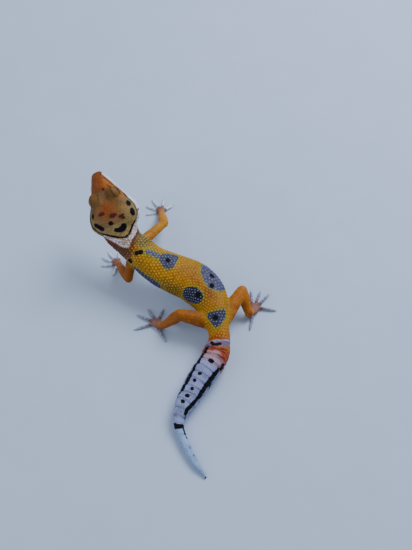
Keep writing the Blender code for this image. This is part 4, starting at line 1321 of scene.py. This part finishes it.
draw = np.random.default_rng(9)
limb, along_leg, along_toe, left = limb_share(points)
outward = normals_of(points, faces)
order = draw.permutation(np.nonzero(
    (limb > 0.9) & (along_leg > 0.15) & (along_leg < 2.3) & (outward[:, 2] > -0.1)
)[0])
chosen = np.zeros((0, 3))
picked = []
for i in order:
    if len(picked) == 0 or np.min(((chosen - points[i]) ** 2).sum(1)) > 0.85 ** 2:
        picked.append(i)
        chosen = np.vstack([chosen, points[i]])
places = np.concatenate([places, chosen])
lean = np.concatenate([lean, np.tile((0.0, 0.0, -1.0), (len(chosen), 1))])
size = np.concatenate([size, np.full(len(chosen), 0.15)])
corner = (points[picked, 0] > -4.0) * 2 + (left[picked] > 0.5)
turn = np.arctan2(outward[picked, 0], outward[picked, 1])
leg_unwrap = np.stack([0.05 + 0.22 * corner + 0.06 * along_leg[picked], 0.12 + 0.025 * turn], axis=1)
unwrap = np.concatenate([unwrap, leg_unwrap])

found, normal, good = on_skin(places)
found, normal, lean, size, unwrap = found[good], normal[good], lean[good], size[good], unwrap[good]
size = size * draw.uniform(0.85, 1.12, len(size))
ground, ink, patch, dark, rust, speckle = markings(found)
along = chart(found)[0]
on_patch = ease(-patch, -0.05, 0.15)[:, None]
size = size * (1.0 - 0.15 * on_patch[:, 0])
on_leg = limb_share(found)[0] > 0.5
golden = (ease(along, 5.0, 9.0) * (1.0 - ease(along, 49.0, 52.0)) * ~on_leg)[:, None]
lighter = 1.35 - 0.22 * (along < 0.0)[:, None] - 0.2 * on_leg[:, None]
pale = np.clip(ground * lighter + 0.01, 0.0, 0.8)
rear = 1.0 - 0.3 * ease(along, 20.0, 28.0)[:, None]
colour = pale * (1.0 - 0.8 * golden) + np.array(linear(TUBERCLE_GOLD)[:3]) * rear * 0.8 * golden
colour = colour * (1.0 - on_patch) + (
    np.array(linear(TUBERCLE_WHITE)[:3]) * on_patch * (1.0 - 0.35 * dark[:, None])
)
blackened = ease(-ink, -0.26, 0.02)[:, None]
colour = colour * (1.0 - blackened) + np.array(linear(INK)[:3]) * blackened
# scales on a rust spot turn rust-red, and on a crease they take its painted shade
rust_and_crease_shaded = ease(-rust, -0.2, 0.1)[:, None]
colour = colour * (1.0 - rust_and_crease_shaded) + np.array(linear(RUST_SPOT_AND_CREASE_SHADE)[:3]) * rust_and_crease_shaded
size = size * (1.0 - 0.3 * blackened[:, 0] - 0.3 * (rust_and_crease_shaded[:, 0] > 0.5))
dome_points, dome_faces, dome_flat = domes(found, normal, lean, size, size * 0.42, unwrap)
horn, tree, shader = new_material("tubercle_horn")
place = add(tree, "ShaderNodeTexCoord").outputs["Object"]
speck = add(tree, "ShaderNodeTexNoise", {"Vector": place, "Scale": 1.0 / (0.25 * MM), "Detail": 2.0})
speck = add(tree, "ShaderNodeMapRange", {
    "Value": speck, "From Min": 0.35, "From Max": 0.75, "To Max": 0.07,
}, **SMOOTH)
own = add(tree, "ShaderNodeAttribute", attribute_name="horn")
tone = add(tree, "ShaderNodeMixRGB", {"Fac": speck, "Color1": own, "Color2": linear("#FFD884")})
tree.links.new(tone.outputs["Color"], shader.inputs["Base Color"])
shader.inputs["Roughness"].default_value = 0.58
shader.inputs["Specular IOR Level"].default_value = 0.16
tubercles = show("tubercles", dome_points, dome_faces, horn)
keep(tubercles, "horn", np.repeat(colour, len(TUBERCLE_RINGS) * TUBERCLE_SIDES + 1, axis=0))
lay_flat(tubercles, dome_flat)
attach(tubercles, "root")

# Lip plates: one row of smooth white scales along each lip, from the tips of the snout and chin back along
# the mouth, narrowing as they go. They are thin horn over the gum line, each slightly domed, with the mouth
# line between rows, and smoother than the hide, so they catch a little more light.
LIP_PLATE_ENDS = (0.55, 1.45, 2.35, 3.25, 4.15, 5.05, 5.9, 6.7, 7.45, 8.15, 8.8, 9.4)
LIP_PLATE_ROWS = ((0.34, 0.27), (-0.36, 0.24))
plate_horn, tree, shader = new_material("lip_plate_horn")
place = add(tree, "ShaderNodeTexCoord").outputs["Object"]
soft = add(tree, "ShaderNodeTexNoise", {"Vector": place, "Scale": 1.0 / (0.6 * MM), "Detail": 3.0})
soft = add(tree, "ShaderNodeMapRange", {"Value": soft, "From Min": 0.35, "From Max": 0.7}, **SMOOTH)
tone = add(tree, "ShaderNodeMixRGB", {"Fac": soft, "Color1": linear("#E6E4E2"), "Color2": linear("#CFC6C2")})
# painted shade: each plate darker at its edge, where it sinks into the skin beside the next
edge = add(tree, "ShaderNodeAttribute", attribute_name="rim").outputs["Fac"]
tone = add(tree, "ShaderNodeMixRGB", {"Fac": edge, "Color1": tone, "Color2": linear("#9C8C86")})
tree.links.new(tone.outputs["Color"], shader.inputs["Base Color"])
shader.inputs["Roughness"].default_value = 0.42
across, up_it = np.meshgrid(np.linspace(-1.0, 1.0, 9), np.linspace(-1.0, 1.0, 7))
across, up_it = across.ravel(), up_it.ravel()
rounding = across ** 4 + up_it ** 4
dome = np.clip(1.0 - rounding, 0.0, 1.0) ** 0.5
grid_faces = [(r * 9 + c, r * 9 + c + 1, r * 9 + c + 10, r * 9 + c + 9) for r in range(6) for c in range(8)]
plate_points, plate_faces, plate_rim_shades, plate_flat = [], [], [], []
for side in (1, -1):
    for start, end in zip(LIP_PLATE_ENDS, LIP_PLATE_ENDS[1:]):
        for middle_height, half_height in LIP_PLATE_ROWS:
            squeeze = np.maximum(1.0, rounding ** 0.25)
            back = (start + end) / 2 + (end - start) * 0.47 * across / squeeze
            height = mouth_line(back) + middle_height + half_height * 0.94 * up_it / squeeze
            onto, way, good = on_skin(on_head(back, side * (head_sizes(back)[0] + 0.2), height), 2.0)
            way = unit(way.mean(0))
            made = onto + way * (0.07 * dome - 0.03)[:, None]
            begin = len(plate_points) * len(dome)
            faces_out = np.cross(made[1] - made[0], made[9] - made[0]) @ way > 0
            plate_faces += [[begin + i for i in (f if faces_out else f[::-1])] for f in grid_faces]
            plate_points.append(made)
            plate_rim_shades.append(ease(rounding, 0.75, 1.1))
            root = unwrapped((start + end) / 2 - HEAD_LENGTH, side * (9.0 - middle_height))
            plate_flat.append(root + FLAT_HALF * np.stack([across, up_it], axis=1))
lips = show("lip_plates", np.concatenate(plate_points), plate_faces, plate_horn)
keep(lips, "rim", np.concatenate(plate_rim_shades))
lay_flat(lips, np.concatenate(plate_flat))
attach(lips, "root")

# Eyes: wet balls with a silver-brown iris, fine dark veins and an upright slit pupil. They have the cornea's
# index of 1.376 and a smooth clear coat, which gives small sharp reflections.
PUPIL_HALF_WIDTH = 0.09
PUPIL_HALF_HEIGHT = 0.62
IRIS = "#8F8478"
IRIS_VEIN = "#4A382C"
for side, node in ((1, "eye_right"), (-1, "eye_left")):
    centre = on_head(EYE_BACK, side * EYE_SIDE, EYE_HEIGHT)
    axes = eye_frame(side)
    ball_points, ball_faces = ball(centre, (EYE_RADIUS,) * 3, axes, 64, 40)
    wet, tree, shader = new_material(node + "_wet_iris")
    gaze = add(tree, "ShaderNodeAttribute", attribute_name="gaze").outputs["Vector"]
    parts = add(tree, "ShaderNodeSeparateXYZ", {"Vector": gaze})
    along_lids, across_lids, outward = (parts.outputs[axis] for axis in "XYZ")
    veins = add(tree, "ShaderNodeTexNoise", {"Vector": gaze, "Scale": 9.0, "Detail": 5.0, "Distortion": 1.4})
    veins = add(tree, "ShaderNodeMapRange", {"Value": veins, "From Min": 0.42, "From Max": 0.66}, **SMOOTH)
    iris = add(tree, "ShaderNodeMixRGB", {"Fac": veins, "Color1": linear(IRIS), "Color2": linear(IRIS_VEIN)})
    # painted shade: the ball turns dark where it runs back under the lids
    rim = add(tree, "ShaderNodeMapRange", {"Value": outward, "From Min": 0.42, "From Max": 0.62}, **SMOOTH)
    iris = add(tree, "ShaderNodeMixRGB", {"Fac": rim, "Color1": linear("#2A1E18"), "Color2": iris})
    tall = add(tree, "ShaderNodeMath", {0: across_lids, 1: 1.0 / PUPIL_HALF_HEIGHT}, operation="MULTIPLY")
    tall = add(tree, "ShaderNodeMath", {0: tall, 1: 2.0}, operation="POWER")
    room = add(tree, "ShaderNodeMath", {0: 1.0, 1: tall}, operation="SUBTRACT")
    ripple = add(tree, "ShaderNodeMath", {0: across_lids, 1: 26.0}, operation="MULTIPLY")
    ripple = add(tree, "ShaderNodeMath", {0: ripple}, operation="SINE")
    ripple = add(tree, "ShaderNodeMath", {0: ripple, 1: 0.018}, operation="MULTIPLY")
    room = add(tree, "ShaderNodeMath", {0: room, 1: PUPIL_HALF_WIDTH, 2: ripple}, operation="MULTIPLY_ADD")
    off_middle = add(tree, "ShaderNodeMath", {0: along_lids}, operation="ABSOLUTE")
    slit = add(tree, "ShaderNodeMath", {0: room, 1: off_middle}, operation="SUBTRACT")
    slit = add(tree, "ShaderNodeMapRange", {"Value": slit, "From Min": -0.012, "From Max": 0.012}, **SMOOTH)
    iris = add(tree, "ShaderNodeMixRGB", {"Fac": slit, "Color1": iris, "Color2": linear("#050406")})
    tree.links.new(iris.outputs["Color"], shader.inputs["Base Color"])
    shader.inputs["Roughness"].default_value = 0.12
    shader.inputs["IOR"].default_value = 1.376
    shader.inputs["Coat Weight"].default_value = 1.0
    shader.inputs["Coat Roughness"].default_value = 0.02
    eye = show(node + "_ball", ball_points, ball_faces, wet)
    made = eye.data.attributes.new("gaze", "FLOAT_VECTOR", "POINT")
    made.data.foreach_set("vector",
        (((ball_points - centre) @ axes.T) / EYE_RADIUS).astype(np.float32).ravel())
    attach(eye, "root")
    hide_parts(node)

# Lid rims: the thickened edge of both lids, a soft brown cord of small scales round each eye, with painted
# shade darkening the gaps between the scales. It is the same dry skin as the hide, worn a little smoother.
LID_RIM = 0.13
rim_skin, tree, shader = new_material("lid_edge_skin")
place = add(tree, "ShaderNodeTexCoord").outputs["Object"]
scale_gap_shade = add(tree, "ShaderNodeTexVoronoi", {"Vector": place, "Scale": 1.0 / (0.22 * MM)}, feature="F1")
scale_gap_shade = add(tree, "ShaderNodeMapRange", {"Value": scale_gap_shade, "From Min": 0.3, "From Max": 0.8}, **SMOOTH)
tone = add(tree, "ShaderNodeMixRGB", {"Fac": scale_gap_shade, "Color1": linear("#A87C3A"),
    "Color2": linear("#4E3214")})
tree.links.new(tone.outputs["Color"], shader.inputs["Base Color"])
shader.inputs["Roughness"].default_value = 0.5
for side, name in ((1, "lid_rim_right"), (-1, "lid_rim_left")):
    centre = on_head(EYE_BACK, side * EYE_SIDE, EYE_HEIGHT)
    axes = eye_frame(side)
    turn = np.linspace(0.0, 2.0 * math.pi, 96, endpoint=False)
    x = LID_OPENING[0] * 0.98 * np.cos(turn)
    y = LID_OPENING[1] * 0.98 * np.sin(turn)
    reach = EYE_RADIUS + LID_THICKNESS - 0.12
    path = centre + np.stack([x, y, np.sqrt(reach ** 2 - x ** 2 - y ** 2)], axis=1) @ axes
    outward = unit(path - centre)
    ahead = unit(np.roll(path, -1, axis=0) - np.roll(path, 1, axis=0))
    sideways = np.cross(ahead, outward)
    round_it = np.linspace(0.0, 2.0 * math.pi, 10, endpoint=False)
    beaded = LID_RIM * (1.0 + 0.10 * np.cos(24 * turn))
    rings = path[:, None] + (
        outward[:, None] * np.cos(round_it)[:, None] + sideways[:, None] * np.sin(round_it)[:, None]
    ) * beaded[:, None, None]
    i = np.arange(96)[:, None] * 10
    j = (np.arange(96)[:, None] + 1) % 96 * 10
    k = np.arange(10)
    m = (k + 1) % 10
    rim_faces = np.stack([i + k, i + m, j + m, j + k], axis=-1).reshape(-1, 4).tolist()
    rim = show(name, rings.reshape(-1, 3), rim_faces, rim_skin)
    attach(rim, "root")

# Claws: small curved horn points, one on each toe, darker at the tip and pale at the root. They are dense
# keratin, worn smooth on the ground, so they are glossier than the skin.
CLAW_LENGTH = 0.8
claw_horn, tree, shader = new_material("claw_horn")
tip = add(tree, "ShaderNodeAttribute", attribute_name="tip").outputs["Fac"]
tone = add(tree, "ShaderNodeMixRGB", {"Fac": tip, "Color1": linear("#C6C0BE"), "Color2": linear("#6A5E58")})
tree.links.new(tone.outputs["Color"], shader.inputs["Base Color"])
shader.inputs["Roughness"].default_value = 0.3
claw_points, claw_faces, claw_tip = [], [], []
for name in LEGS:
    for knuckle_x, knuckle_y, end_x, end_y in TOES[name]:
        end = np.array((end_x, end_y, TOE_RADII[3] - SOLE))
        ahead = unit(end - np.array((knuckle_x, knuckle_y, 0.64)))
        path = [end - ahead * 0.1, end + ahead * 0.45 * CLAW_LENGTH, end + ahead * CLAW_LENGTH]
        path[1][2] = 0.36
        path[2][2] = 0.09
        form = tube(path, [(0.19, 0.21), (0.12, 0.15), (0.03, 0.045)], 10, 9, round_start=False)
        start = sum(len(p) for p in claw_points)
        claw_points.append(form[0])
        claw_faces += [[start + i for i in f] for f in form[1]]
        claw_tip.append(np.clip(((form[0] - path[0]) @ ahead) / CLAW_LENGTH, 0.0, 1.0))
claws = show("claws", np.concatenate(claw_points), claw_faces, claw_horn)
keep(claws, "tip", np.concatenate(claw_tip))
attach(claws, "root")
